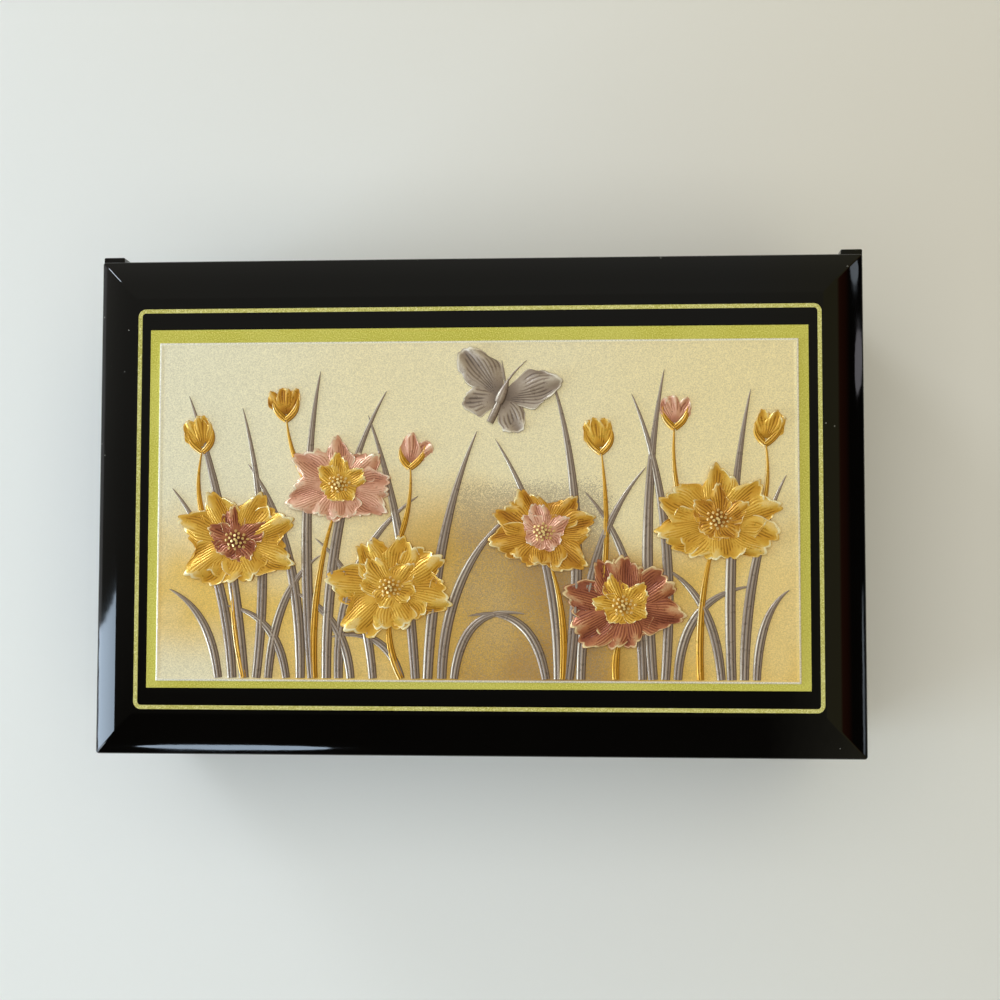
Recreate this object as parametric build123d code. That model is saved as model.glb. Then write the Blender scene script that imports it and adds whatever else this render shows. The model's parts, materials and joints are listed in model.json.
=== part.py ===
from build123d import *
import os
from math import atan2, copysign, cos, degrees, pi, radians, sin, sqrt

# Musical jewellery box: gloss lidded case with a mirror, a flocked tray with ring rolls,
# and an 18-note movement under a clear window. Millimetres; +Z up, front edge at -Y, hinge at +Y.
# Origin: centre of the footprint, on the surface the box stands on.

# Lid, outer form
LID_W = 192.0
LID_D = 125.0
BOX_H = 70.0            # floor to the face of the plaque
LID_H = 13.2            # lid edge to its flat top
RIM_H = 8.5             # plain rim below the pillow
RIM_FLAT = 1.2          # upright part of the rim
RIM_LEAN = 0.3          # how far the rim leans in above that
PILLOW_IN = 10.8        # lid side to the start of the flat top
LID_CORNER_R = 1.0
LID_WALL = 2.5
LID_TOP_T = 2.5
LID_GAP = 0.3           # closed lid to the rim of the case

# Lid, decoration
LINE_IN_X = 11.1        # lid side to the gold line
LINE_IN_Y = 12.6
LINE_FORWARD = 0.8      # line, band and plaque moved towards the front
LINE_WIDTH = 1.0
LINE_CORNER_R = 1.9
FOIL_T = 0.1
BAND_IN_X = 2.25        # gold line to the gold band
BAND_IN_Y = 4.3
BAND_SIDE = 2.4         # band that shows beside, behind and before the plaque
BAND_REAR = 3.3
BAND_FRONT = 1.7
BAND_T = 0.2
PLAQUE_T = 0.8
PLAQUE_EDGE = 0.4

# Lid, inside
LINING_UP = 3.5         # lid edge to the lining board
LINING_T = 2.0
LINING_GAP = 0.6
MIRROR_IN_X = 21.0      # lid side to the mirror
MIRROR_IN_Y = 19.5
MIRROR_T = 2.0
MIRROR_LAP = 4.0        # board over the edge of the glass

# Case
OVERHANG = 0.8          # lid beyond the case
CASE_WALL = 2.5
CASE_CORNER_R = 2.0
FLOOR_T = 2.5
FOOT_H = 2.0
FOOT_W = 9.0
FOOT_BOSS = 5.5
FOOT_IN = 10.0          # case side to the middle of a foot

# Hinge at the rear corners
KNUCKLE_W = 5.5
KNUCKLE_R = 2.2
KNUCKLE_PROUD = 1.2     # knuckle beyond the rear edge of the lid
LUG_H = 7.2             # lug of the knuckle, up the rear of the lid
HINGE_DROP = 0.9        # pin below the rim of the case
PIN_R = 0.75
PIN_BOSS_R = 1.5
PIN_BOSS_W = 5.5
PIN_FIT = 0.05
SWING_GAP = 0.3
POCKET_WALL = 2.3

# Tray of flocked sheet
TRAY_DROP = 6.0         # tray face below the rim
MOVEMENT_ROOM = 31.7    # floor to the tray face
TRAY_T = 1.2
TRAY_GAP = 0.3
TRAY_EDGE = 3.0
TRAY_DIVIDER = 4.0
WELL_CORNER_R = 5.0
BAY_W = 60.0            # right-hand column: movement bay and the well before it
BAY_D = 66.0
ROLL_BAY_D = 48.0
ROLL_BAY_DEEP = 11.0
ROLL_BAY_CORNER_R = 1.5
FRONT_WELL_W = 60.0
LEDGE = 4.0
WINDOW_SINK = 2.5
WINDOW_T = 1.5
ROLLS = 4
ROLL_GAP = 0.6
ROLL_PROUD = 1.2
ROLL_FOOT = 0.72        # underside, as a share of the roll's width
ROLL_END = 1.6          # rolls drawn in at their ends
ROLL_TAPER = 0.8
SOFT_GAP = 0.3

# Movement: plate, barrel and crown gear
BED_T = 2.0
BED_MARGIN = 1.5
BED_CORNER = 3.0
BARREL_R = 10.6
BARREL_H = 10.0
BARREL_UP = 1.0         # barrel above the plate
BARREL_WALL = 1.0
CROWN_TEETH = 36
CROWN_R = 9.5
CROWN_FACE = 1.8
CROWN_TIP = 0.5         # tooth above its pitch plane
CROWN_ROOT = 0.6        # and below
PINION_TEETH = 9
PINION_T = 1.4
SPRING_HALF_TURNS = 3
SPRING_T = 0.4
SPRING_PITCH = 0.85     # from turn to turn
ARBOR_R = 1.5
ARBOR_FIT = 0.05

# Movement: pinned cylinder and comb
DRUM_R = 6.5
DRUM_L = 17.4
TRACKS = 18
TRACK_PITCH = 0.94
PIN_STEPS = 40
PINS_A_TRACK = 2
PIN_W = 0.45
PIN_H = 0.9
SPINDLE_R = 1.0
JOURNAL_R = 0.7
COMB_GAP = 0.1          # tooth tips to the circle of the pins
COMB_T = 1.0
TOOTH_T = 0.5
TOOTH_W = 0.6
BASS_L = 11.0
TREBLE_L = 7.5
COMB_BACK = 5.5
WEIGHTS = 8
WEIGHT_IN = 0.8         # tooth tip to its weight
WEIGHT_L = 2.4
WEIGHT_T = 2.0
COMB_SIDE = 1.0         # comb plate beyond its outer teeth
COMB_SCREW_R = 1.2
COMB_SCREW_BITE = 5.0   # screw below the comb
COMB_HEAD_R = 2.2
COMB_HEAD_T = 1.3

# Movement: wheel train and governor
TRAIN_MODULE = 0.4
WHEEL_TEETH = 36
WHEEL_T = 1.4
LEAF_TEETH = 9
LEAF_T = 1.8
WORM_WHEEL_TEETH = 24
WORM_WHEEL_T = 1.5
WORM_R = 1.5
WORM_TURNS = 2
WORM_END = 0.8          # plain stretch beyond the thread
TRAIN_DROP = 3.7        # intermediate arbor below the cylinder arbor
TRAIN_SPINDLE_R = 0.8
CHEEK_T = 1.2
CHEEK_EDGE = 2.4
TRAIN_GAP = 0.7
FAN_R = 5.3
FAN_H = 6.0
FAN_T = 0.4
FAN_HUB_R = 1.3
FAN_UP = 16.8           # fan above the plate
GOVERNOR_R = 0.6
BRIDGE_W = 4.0
PORTAL_IN = 5.2         # barrel axis to the portal
PORTAL_T = 1.6
PORTAL_GAP = 0.6
PORTAL_LEG = 2.2
PORTAL_FOOT = 3.0

# Movement in the box, its key and screws
BED_GAP = 2.6           # plate to the right side of its bay
KEY_W = 24.0
KEY_LIFT = 2.5          # key above the lower edge of the case
KEY_NECK = 2.5          # hub above the wings
KEY_DIP = 1.5           # hub below the middle of the wings
KEY_T = 1.6
KEY_HUB_R = 3.0
KEY_GAP = 0.5
SCREW_IN = 4.0          # side of the plate to a screw
SCREW_R = 1.4
SCREW_HEAD_R = 2.7
SCREW_HEAD_T = 1.5
SCREW_GAP = 0.2

# Stop lever worked by the lid
LEVER_IN = 6.2          # rear of the bay to the lever's pivot
LEVER_BACK = 13.5       # fan axis to the lever's pivot
LEVER_UP = 12.0         # pivot above the floor
LEVER_W = 2.4
LEVER_T = 1.3
LEVER_HUB_R = 2.0
LEVER_LEAN = 1.9        # how far its top leans back
LEVER_GAP = 0.3
LEVER_SWEEP = 5.0       # travel of its top past the tray

# Levels
Z_TOP = BOX_H - PLAQUE_T
Z_LID = Z_TOP - LID_H
Z_RIM = Z_LID - LID_GAP
Z_BASE = FOOT_H
Z_TRAY = Z_RIM - TRAY_DROP
Z_FLOOR = Z_TRAY - MOVEMENT_ROOM
Z_UNDER = Z_FLOOR - FLOOR_T
Z_BED = Z_FLOOR + BED_T
Z_LINING = Z_LID + LINING_UP
Z_MIRROR = Z_LINING + LINING_T
Z_CEILING = Z_TOP - LID_TOP_T

# Plan of the lid
LINE_W = LID_W - 2 * LINE_IN_X
LINE_D = LID_D - 2 * LINE_IN_Y
BAND_W = LINE_W - 2 * (LINE_WIDTH + BAND_IN_X)
BAND_D = LINE_D - 2 * (LINE_WIDTH + BAND_IN_Y)
PLAQUE_W = BAND_W - 2 * BAND_SIDE
PLAQUE_D = BAND_D - BAND_REAR - BAND_FRONT
LINE_Y = -LINE_FORWARD
PLAQUE_Y = LINE_Y + (BAND_FRONT - BAND_REAR) / 2
MIRROR_W = LID_W - 2 * MIRROR_IN_X
MIRROR_D = LID_D - 2 * MIRROR_IN_Y

# Plan of the case
CASE_W = LID_W - 2 * OVERHANG
CASE_D = LID_D - 2 * OVERHANG
IN_W = CASE_W - 2 * CASE_WALL
IN_D = CASE_D - 2 * CASE_WALL
AXIS_Y = LID_D / 2 + KNUCKLE_PROUD - KNUCKLE_R
AXIS_Z = Z_RIM - HINGE_DROP
KNUCKLE_X = LID_W / 2 - KNUCKLE_W
BOSS_X = KNUCKLE_X - SWING_GAP

# Plan of the tray
X_RIGHT = IN_W / 2 - TRAY_EDGE
X_BAY = X_RIGHT - BAY_W
Y_REAR = IN_D / 2 - TRAY_EDGE
Y_BAY = Y_REAR - BAY_D
Y_ROLLS = Y_REAR - ROLL_BAY_D
X_SPLIT = FRONT_WELL_W - X_RIGHT

# Places on the movement, from its cylinder axis
CROWN_MODULE = 2 * CROWN_R / CROWN_TEETH
PINION_R = CROWN_MODULE * PINION_TEETH / 2
Z_CROWN = Z_BED + BARREL_UP + BARREL_H + CROWN_ROOT
Z_DRUM = Z_CROWN + PINION_R
X_DRUM = -3.1
X_BARREL = X_DRUM - 0.8 - BARREL_R
X_PINION = X_BARREL + CROWN_R
X_CHEEK = X_DRUM + DRUM_L + TRAIN_GAP
X_WHEEL = X_CHEEK + CHEEK_T + TRAIN_GAP
X_WORM_WHEEL = X_WHEEL + WHEEL_T + 1.0
X_CHEEK_2 = X_WORM_WHEEL + WORM_WHEEL_T + 1.0
PIN_CIRCLE = DRUM_R + PIN_H
WHEEL_R = TRAIN_MODULE * WHEEL_TEETH / 2
LEAF_R = TRAIN_MODULE * LEAF_TEETH / 2
WORM_WHEEL_R = TRAIN_MODULE * WORM_WHEEL_TEETH / 2
Z_TRAIN = Z_DRUM - TRAIN_DROP
Y_TRAIN = sqrt((WHEEL_R + LEAF_R) ** 2 - TRAIN_DROP**2)
X_GOVERNOR = X_WORM_WHEEL + WORM_WHEEL_T / 2
Y_GOVERNOR = Y_TRAIN + WORM_WHEEL_R + WORM_R
Z_FAN = Z_BED + FAN_UP
X_POST = X_GOVERNOR + FAN_R + TRAIN_GAP
Y_COMB = -PIN_CIRCLE - COMB_GAP
Y_COMB_BACK = Y_COMB - BASS_L - COMB_BACK
BED_X0 = X_BARREL - BARREL_R - BED_MARGIN
BED_X1 = X_POST + CHEEK_T + BED_MARGIN
BED_Y0 = Y_COMB_BACK - BED_MARGIN
BED_Y1 = Y_GOVERNOR + FAN_HUB_R + BED_MARGIN
SCREW_SPOTS = [
    (BED_X0 + SCREW_IN, BED_Y0 + SCREW_IN),
    (BED_X1 - SCREW_IN, BED_Y0 + SCREW_IN),
    (BED_X0 + SCREW_IN, BED_Y1 - SCREW_IN),
]
COMB_X0 = X_DRUM + (DRUM_L - TRACKS * TRACK_PITCH) / 2
COMB_SCREW_X = [COMB_X0 + 0.2 * TRACKS * TRACK_PITCH, COMB_X0 + 0.8 * TRACKS * TRACK_PITCH]
LEVER_Y = Y_REAR - LEVER_IN
LEVER_Z = Z_FLOOR + LEVER_UP
MOVE_X = X_RIGHT - BED_GAP - BED_X1
MOVE_Y = LEVER_Y - LEVER_BACK - Y_GOVERNOR
LEVER_X = MOVE_X + X_GOVERNOR


def block(x0, x1, y0, y1, z0, z1):
    return Pos(x0, y0, z0) * Box(x1 - x0, y1 - y0, z1 - z0, align=(Align.MIN,) * 3)


def post(radius, z0, z1, x=0.0, y=0.0):
    return Pos(x, y, z0) * Cylinder(radius, z1 - z0, align=(Align.CENTER, Align.CENTER, Align.MIN))


def rod(radius, x0, x1, y=0.0, z=0.0):
    return Pos(x0, y, z) * Rot(0, 90, 0) * Cylinder(
        radius, x1 - x0, align=(Align.CENTER, Align.CENTER, Align.MIN)
    )


def slab(width, depth, corner, z0, z1, x=0.0, y=0.0):
    return Pos(x, y, z0) * extrude(RectangleRounded(width, depth, corner), amount=z1 - z0)


def well(x0, x1, y0, y1, z0, z1, corner):
    return slab(x1 - x0, y1 - y0, corner, z0, z1, (x0 + x1) / 2, (y0 + y1) / 2)


def pillow_section(half, z0, height, rim, flat, lean, inset):
    # Right half: upright rim, leaning rim, then one arc that ends level with the flat top
    corner = (half - lean, z0 + rim)
    side = Polyline((0, z0), (half, z0), (half, z0 + flat), corner)
    top = TangentArc((half - inset, z0 + height), corner, tangent=(1, 0))
    close = Polyline((half - inset, z0 + height), (0, z0 + height), (0, z0))
    right = make_face(Curve() + [side, top, close])
    return right + mirror(right, about=Plane.YZ)


def pillow_form(width, depth, z0, height, rim, flat, lean, inset):
    # Two crossed runs of the same section meet in mitred corners
    values = (z0, height, rim, flat, lean, inset)
    front = extrude(Plane.XZ * pillow_section(width / 2, *values), amount=depth / 2, both=True)
    side = extrude(Plane.YZ * pillow_section(depth / 2, *values), amount=width / 2, both=True)
    return front & side


# Lid

def lid_shell():
    lid = pillow_form(LID_W, LID_D, Z_LID, LID_H, RIM_H, RIM_FLAT, RIM_LEAN, PILLOW_IN)
    lid &= slab(LID_W, LID_D, LID_CORNER_R, Z_LID, Z_TOP)
    lid -= pillow_form(
        LID_W - 2 * LID_WALL, LID_D - 2 * LID_WALL, Z_LID, LID_H - LID_TOP_T,
        RIM_H, RIM_FLAT, 0.0, PILLOW_IN - LID_WALL
    )
    for side in (-1, 1):
        outer = side * LID_W / 2
        inner = side * KNUCKLE_X
        x0, x1 = min(outer, inner), max(outer, inner)
        lid += rod(KNUCKLE_R, x0, x1, AXIS_Y, AXIS_Z)
        lid += block(
            x0, x1, AXIS_Y - KNUCKLE_R, LID_D / 2, AXIS_Z, Z_LID + RIM_FLAT
        )
        lid += block(
            x0, x1, AXIS_Y, LID_D / 2 + KNUCKLE_PROUD, AXIS_Z, Z_LID + LUG_H
        )
        lid -= rod(PIN_R + PIN_FIT, x0 - 1, x1 + 1, AXIS_Y, AXIS_Z)
        boss = sorted((side * BOSS_X, side * (BOSS_X - PIN_BOSS_W)))
        lid -= rod(
            PIN_BOSS_R + SWING_GAP, boss[0] - SWING_GAP, boss[1] + SWING_GAP, AXIS_Y, AXIS_Z
        )
    return lid


def gold_line():
    ring = RectangleRounded(LINE_W, LINE_D, LINE_CORNER_R)
    ring -= RectangleRounded(
        LINE_W - 2 * LINE_WIDTH, LINE_D - 2 * LINE_WIDTH, LINE_CORNER_R - LINE_WIDTH
    )
    return Pos(0, LINE_Y, Z_TOP) * extrude(ring, amount=FOIL_T)


def gold_band():
    ring = Pos(0, LINE_Y) * Rectangle(BAND_W, BAND_D)
    ring -= Pos(0, PLAQUE_Y) * Rectangle(PLAQUE_W, PLAQUE_D)
    return Pos(0, 0, Z_TOP) * extrude(ring, amount=BAND_T)


def plaque_plate():
    half_w, half_d = PLAQUE_W / 2, PLAQUE_D / 2
    plate = block(-half_w, half_w, PLAQUE_Y - half_d, PLAQUE_Y + half_d, Z_TOP, BOX_H)
    return chamfer(plate.faces().sort_by(Axis.Z)[-1].edges(), PLAQUE_EDGE)


def lid_sheet(z0, z1):
    return block(-MIRROR_W / 2, MIRROR_W / 2, -MIRROR_D / 2, MIRROR_D / 2, z0, z1)


def lid_lining():
    half_w, half_d = (side / 2 - LID_WALL - LINING_GAP for side in (LID_W, LID_D))
    board = block(-half_w, half_w, -half_d, half_d, Z_LINING, Z_MIRROR)
    window = slab(
        MIRROR_W - 2 * MIRROR_LAP, MIRROR_D - 2 * MIRROR_LAP, WELL_CORNER_R, Z_LINING, Z_MIRROR
    )
    return board - window


# Case

def case_shell():
    case = slab(CASE_W, CASE_D, CASE_CORNER_R, Z_BASE, Z_RIM)
    for z0, z1 in ((Z_BASE, Z_UNDER), (Z_FLOOR, Z_RIM)):
        case -= block(-IN_W / 2, IN_W / 2, -IN_D / 2, IN_D / 2, z0, z1)
    for x, y in foot_spots():
        reach_x = CASE_W / 2 - CASE_CORNER_R if x > 0 else CASE_CORNER_R - CASE_W / 2
        reach_y = CASE_D / 2 - CASE_CORNER_R if y > 0 else CASE_CORNER_R - CASE_D / 2
        xs = sorted((x - copysign(FOOT_BOSS, x), reach_x))
        ys = sorted((y - copysign(FOOT_BOSS, y), reach_y))
        case += block(*xs, *ys, Z_BASE, Z_FLOOR - FLOOR_T / 2)
    pocket = KNUCKLE_R + SWING_GAP
    for side in (-1, 1):
        near, far = side * (BOSS_X - POCKET_WALL), side * (IN_W / 2 + 0.5)
        case += block(
            min(near, far), max(near, far), AXIS_Y - pocket - POCKET_WALL, IN_D / 2 + 0.5,
            AXIS_Z - pocket - POCKET_WALL, Z_RIM
        )
        near, far = side * BOSS_X, side * LID_W / 2
        case -= block(
            min(near, far), max(near, far), AXIS_Y - pocket, LID_D, AXIS_Z - pocket, Z_RIM + 1
        )
        boss = sorted((side * BOSS_X, side * (BOSS_X - PIN_BOSS_W)))
        case += rod(PIN_BOSS_R, *boss, AXIS_Y, AXIS_Z)
        case -= rod(PIN_R, *boss, AXIS_Y, AXIS_Z)
    case -= post(ARBOR_R + 1.0, Z_BASE, Z_FLOOR, MOVE_X + X_BARREL, MOVE_Y)
    for x, y in SCREW_SPOTS:
        case -= post(SCREW_R + SCREW_GAP, Z_BASE, Z_FLOOR, MOVE_X + x, MOVE_Y + y)
    return case


def foot_spots():
    x, y = CASE_W / 2 - FOOT_IN, CASE_D / 2 - FOOT_IN
    return [(-x, -y), (x, -y), (-x, y), (x, y)]


def feet():
    half = FOOT_W / 2
    return Compound([
        block(x - half, x + half, y - half, y + half, 0, FOOT_H) for x, y in foot_spots()
    ])


def hinge_pins():
    x0 = BOSS_X - PIN_BOSS_W + 0.5
    x1 = LID_W / 2 - 0.4
    return Compound([rod(PIN_R, x0, x1, AXIS_Y, AXIS_Z), rod(PIN_R, -x1, -x0, AXIS_Y, AXIS_Z)])


# Tray, window and ring rolls

def wells():
    floor = Z_FLOOR + TRAY_T
    front, step = -Y_REAR, TRAY_DIVIDER
    return [
        (-X_RIGHT, X_SPLIT, front, Y_ROLLS - step, floor, WELL_CORNER_R),
        (X_SPLIT + step, X_BAY - step, front, Y_ROLLS - step, floor, WELL_CORNER_R),
        (X_BAY, X_RIGHT, front, Y_BAY - step, floor, WELL_CORNER_R),
        (-X_RIGHT, X_BAY - step, Y_ROLLS, Y_REAR, Z_TRAY - ROLL_BAY_DEEP, ROLL_BAY_CORNER_R),
        (X_BAY, X_RIGHT, Y_BAY, Y_REAR, Z_TRAY - WINDOW_SINK, WELL_CORNER_R),
    ]


def tray_insert():
    half_w, half_d, t = IN_W / 2 - TRAY_GAP, IN_D / 2 - TRAY_GAP, TRAY_T
    tray = block(-half_w, half_w, -half_d, half_d, Z_TRAY - t, Z_TRAY)
    for x0, x1, y0, y1, z, corner in wells():
        tray += block(x0 - t, x1 + t, y0 - t, y1 + t, z - t, Z_TRAY)
    for x0, x1, y0, y1, z, corner in wells():
        tray -= well(x0, x1, y0, y1, z, Z_TRAY, corner)
    tray -= well(
        X_BAY + LEDGE, X_RIGHT - LEDGE, Y_BAY + LEDGE, Y_REAR - LEDGE,
        Z_TRAY - WINDOW_SINK - TRAY_T, Z_TRAY, WELL_CORNER_R - 1
    )
    tray -= lever_slot(Z_TRAY - WINDOW_SINK - TRAY_T, Z_TRAY)
    return tray


def lever_slot(z0, z1):
    half = LEVER_W / 2 + 2 * LEVER_GAP
    front = LEVER_Y - LEVER_T
    return block(LEVER_X - half, LEVER_X + half, front, front + LEVER_SWEEP + 3.6, z0, z1)


def movement_window():
    gap = SOFT_GAP
    z = Z_TRAY - WINDOW_SINK
    pane = well(
        X_BAY + gap, X_RIGHT - gap, Y_BAY + gap, Y_REAR - gap, z, z + WINDOW_T, WELL_CORNER_R - gap
    )
    return pane - lever_slot(z, z + WINDOW_T)


def roll_section(share, x):
    # Flat below, sides drawn in towards the foot, full crown above
    pitch = ROLL_BAY_D / ROLLS
    half = (pitch - ROLL_GAP) / 2 * share
    z0 = Z_TRAY - ROLL_BAY_DEEP + SOFT_GAP
    z1 = Z_TRAY + ROLL_PROUD - (1 - share) * pitch / 2
    foot, middle = half * ROLL_FOOT, z1 - half
    base = Polyline((-half, middle), (-foot, z0), (foot, z0), (half, middle))
    crown = ThreePointArc((half, middle), (0, z1), (-half, middle))
    return Plane.YZ.offset(x) * make_face(Curve() + [base, crown])


def ring_roll(index):
    end = (X_BAY - TRAY_DIVIDER + X_RIGHT) / 2 - SOFT_GAP
    start = end - ROLL_END
    roll = loft([roll_section(1, -start), roll_section(1, start)])
    for side in (-1, 1):
        roll += loft([roll_section(1, side * start), roll_section(ROLL_TAPER, side * end)])
    y = Y_ROLLS + (index + 0.5) * ROLL_BAY_D / ROLLS
    return Pos((X_BAY - TRAY_DIVIDER - X_RIGHT) / 2, y, 0) * roll


# Movement: plate and frames

def at_movement(shape):
    return Pos(MOVE_X, MOVE_Y, 0) * shape


def comb_screw_y():
    return Y_COMB_BACK + COMB_BACK / 2


def bedplate():
    plate = block(BED_X0, BED_X1, BED_Y0, BED_Y1, Z_FLOOR, Z_BED)
    plate = chamfer(plate.edges().filter_by(Axis.Z), BED_CORNER)
    rest_top = Z_DRUM + COMB_T * 0.4 - COMB_T
    plate += block(
        COMB_X0 - COMB_SIDE, COMB_X0 + TRACKS * TRACK_PITCH + COMB_SIDE,
        Y_COMB_BACK, Y_COMB_BACK + COMB_BACK, Z_BED - BED_T / 4, rest_top
    )
    for x in COMB_SCREW_X:
        plate -= post(COMB_SCREW_R, rest_top - COMB_SCREW_BITE, rest_top, x, comb_screw_y())
    plate -= post(ARBOR_R + ARBOR_FIT, Z_FLOOR, Z_BED, X_BARREL, 0)
    for x, y in SCREW_SPOTS:
        plate -= post(SCREW_R, Z_FLOOR, Z_BED, x, y)
    return at_movement(plate)


def cylinder_bridge():
    # Portal over the barrel that carries the left end of the cylinder arbor
    x0 = X_BARREL + PORTAL_IN
    x1 = x0 + PORTAL_T
    leg_in = BARREL_R + PORTAL_GAP
    leg_out = leg_in + PORTAL_LEG
    top = Z_DRUM + JOURNAL_R + PORTAL_T
    gate = block(x0, x1, -leg_out, leg_out, Z_BED, top)
    corners = gate.edges().filter_by(Axis.X).group_by(Axis.Z)[-1]
    gate = fillet(corners, PORTAL_LEG * 0.9)
    gate -= block(x0, x1, -leg_in, leg_in, Z_BED, Z_CROWN + CROWN_TIP + PORTAL_GAP)
    gate -= rod(JOURNAL_R + ARBOR_FIT, x0, x1, 0, Z_DRUM)
    for side in (-1, 1):
        y0 = min(side * leg_in, side * leg_out)
        gate += block(x0 - PORTAL_FOOT, x0, y0, y0 + PORTAL_LEG, Z_BED, Z_BED + CHEEK_T)
    return at_movement(gate)


def cheek(x0):
    edge = CHEEK_EDGE
    outline = make_hull(
        (
            Pos(0, Z_DRUM) * Circle(edge)
            + Pos(Y_TRAIN, Z_TRAIN) * Circle(edge)
            + Pos(0, Z_BED + edge) * Rectangle(2 * edge, 2 * edge)
            + Pos(Y_TRAIN, Z_BED + edge) * Rectangle(2 * edge, 2 * edge)
        ).edges()
    )
    plate = Pos(x0, 0, 0) * extrude(Plane.YZ * outline, amount=CHEEK_T)
    plate -= rod(TRAIN_SPINDLE_R * 0.75 + ARBOR_FIT, x0, x0 + CHEEK_T, Y_TRAIN, Z_TRAIN)
    return plate


def train_bracket():
    # Two cheeks on one foot; the foot reaches out under the governor
    bracket = cheek(X_CHEEK) + cheek(X_CHEEK_2)
    bracket += block(
        X_CHEEK, X_CHEEK_2 + CHEEK_T, -CHEEK_EDGE, Y_TRAIN + CHEEK_EDGE, Z_BED, Z_BED + CHEEK_T
    )
    bracket += block(
        X_GOVERNOR - 2, X_GOVERNOR + 2, 0, Y_GOVERNOR + 2, Z_BED, Z_BED + CHEEK_T
    )
    bracket -= rod(SPINDLE_R + 0.3, X_CHEEK, X_CHEEK + CHEEK_T, 0, Z_DRUM)
    bracket -= rod(JOURNAL_R + ARBOR_FIT, X_CHEEK_2, X_CHEEK_2 + CHEEK_T, 0, Z_DRUM)
    bracket -= post(
        GOVERNOR_R + ARBOR_FIT, Z_BED + 0.5, Z_BED + CHEEK_T, X_GOVERNOR, Y_GOVERNOR
    )
    return at_movement(bracket)


def governor_bridge():
    y0, y1 = Y_GOVERNOR - BRIDGE_W / 2, Y_GOVERNOR + BRIDGE_W / 2
    under = Z_FAN + FAN_H + TRAIN_GAP
    bridge = block(X_POST, X_POST + CHEEK_T, y0, y1, Z_BED, under + CHEEK_T)
    arm = block(X_GOVERNOR - 2, X_POST + CHEEK_T, y0, y1, under, under + CHEEK_T)
    arm = fillet(arm.edges().filter_by(Axis.Z).group_by(Axis.X)[0], 1.5)
    bridge += arm
    bridge -= post(GOVERNOR_R + ARBOR_FIT, under, under + CHEEK_T, X_GOVERNOR, Y_GOVERNOR)
    return at_movement(bridge)


def comb():
    # One plate, cut into teeth that shorten from bass to treble and thinned below
    top = Z_DRUM + COMB_T * 0.4
    width = TRACKS * TRACK_PITCH
    root = Polyline(
        (COMB_X0 - COMB_SIDE, Y_COMB_BACK), (COMB_X0 + width + COMB_SIDE, Y_COMB_BACK),
        (COMB_X0 + width + COMB_SIDE, Y_COMB - TREBLE_L), (COMB_X0 - COMB_SIDE, Y_COMB - BASS_L),
        close=True
    )
    plate = extrude(Pos(0, 0, top - COMB_T) * make_face(root), amount=COMB_T)
    for i in range(TRACKS):
        x = track_x(i)
        plate += block(
            x - TOOTH_W / 2, x + TOOTH_W / 2, Y_COMB - tooth_length(i) - TOOTH_T, Y_COMB,
            top - TOOTH_T, top
        )
    for x in COMB_SCREW_X:
        plate -= post(COMB_SCREW_R, top - COMB_T, top, x, comb_screw_y())
    return at_movement(plate)


def track_x(i):
    return COMB_X0 + (i + 0.5) * TRACK_PITCH


def tooth_length(i):
    return BASS_L + (TREBLE_L - BASS_L) * (i + 0.5) / TRACKS


def comb_weights():
    top = Z_DRUM + COMB_T * 0.4 - TOOTH_T
    weights = []
    for i in range(WEIGHTS):
        x = track_x(i)
        deep = WEIGHT_T * (1 - 0.6 * i / WEIGHTS)
        weights.append(
            block(
                x - TOOTH_W / 2, x + TOOTH_W / 2, Y_COMB - WEIGHT_IN - WEIGHT_L, Y_COMB - WEIGHT_IN,
                top - deep, top
            )
        )
    return at_movement(Compound(weights))


def comb_screws():
    # Slotted cheese heads
    top = Z_DRUM + COMB_T * 0.4
    slot = COMB_HEAD_T * 0.2
    screw = post(COMB_HEAD_R, 0, COMB_HEAD_T)
    screw -= block(-COMB_HEAD_R, COMB_HEAD_R, -slot, slot, COMB_HEAD_T * 0.55, COMB_HEAD_T)
    screw += post(COMB_SCREW_R, -COMB_T - COMB_SCREW_BITE, 0)
    return at_movement(Compound([Pos(x, comb_screw_y(), top) * screw for x in COMB_SCREW_X]))


def mounting_screws():
    # Hexagon heads under the floor, ends level with the top of the plate
    head = extrude(RegularPolygon(SCREW_HEAD_R, 6), amount=-SCREW_HEAD_T)
    screw = head + post(SCREW_R, 0, FLOOR_T + BED_T)
    return at_movement(Compound([Pos(x, y, Z_UNDER) * screw for x, y in SCREW_SPOTS]))


# Movement: barrel, key and arbor

def toothed_disc(teeth, root, tip, root_share, tip_share, turn=0.0):
    # Straight-sided teeth; the shares are parts of one pitch
    points = []
    for i in range(teeth):
        for share, radius in ((-root_share, root), (-tip_share, tip), (tip_share, tip), (root_share, root)):
            angle = radians(turn) + 2 * pi * (i + share / 2) / teeth
            points.append((radius * cos(angle), radius * sin(angle)))
    return make_face(Polyline(*points, close=True))


def spring_barrel():
    z0 = Z_BED + BARREL_UP
    z1 = z0 + BARREL_H
    barrel = post(BARREL_R, z0, z1) - post(BARREL_R - BARREL_WALL, z0, z1 - BARREL_WALL)
    barrel -= post(ARBOR_R + ARBOR_FIT, z0, z1)
    high = CROWN_TIP + CROWN_ROOT
    pitch = 2 * pi * CROWN_R / CROWN_TEETH
    side = Polyline(
        (-0.27 * pitch, -0.3), (0.27 * pitch, -0.3), (0.11 * pitch, high), (-0.11 * pitch, high),
        close=True
    )
    tooth = Pos(CROWN_R - CROWN_FACE / 2, 0, z1) * extrude(
        Plane.YZ * make_face(side), amount=CROWN_FACE
    )
    teeth = [Rot(0, 0, 360 * (i + 0.5) / CROWN_TEETH) * tooth for i in range(CROWN_TEETH)]
    barrel = barrel.fuse(*teeth)
    return at_movement(Pos(X_BARREL, 0, 0) * barrel)


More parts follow.
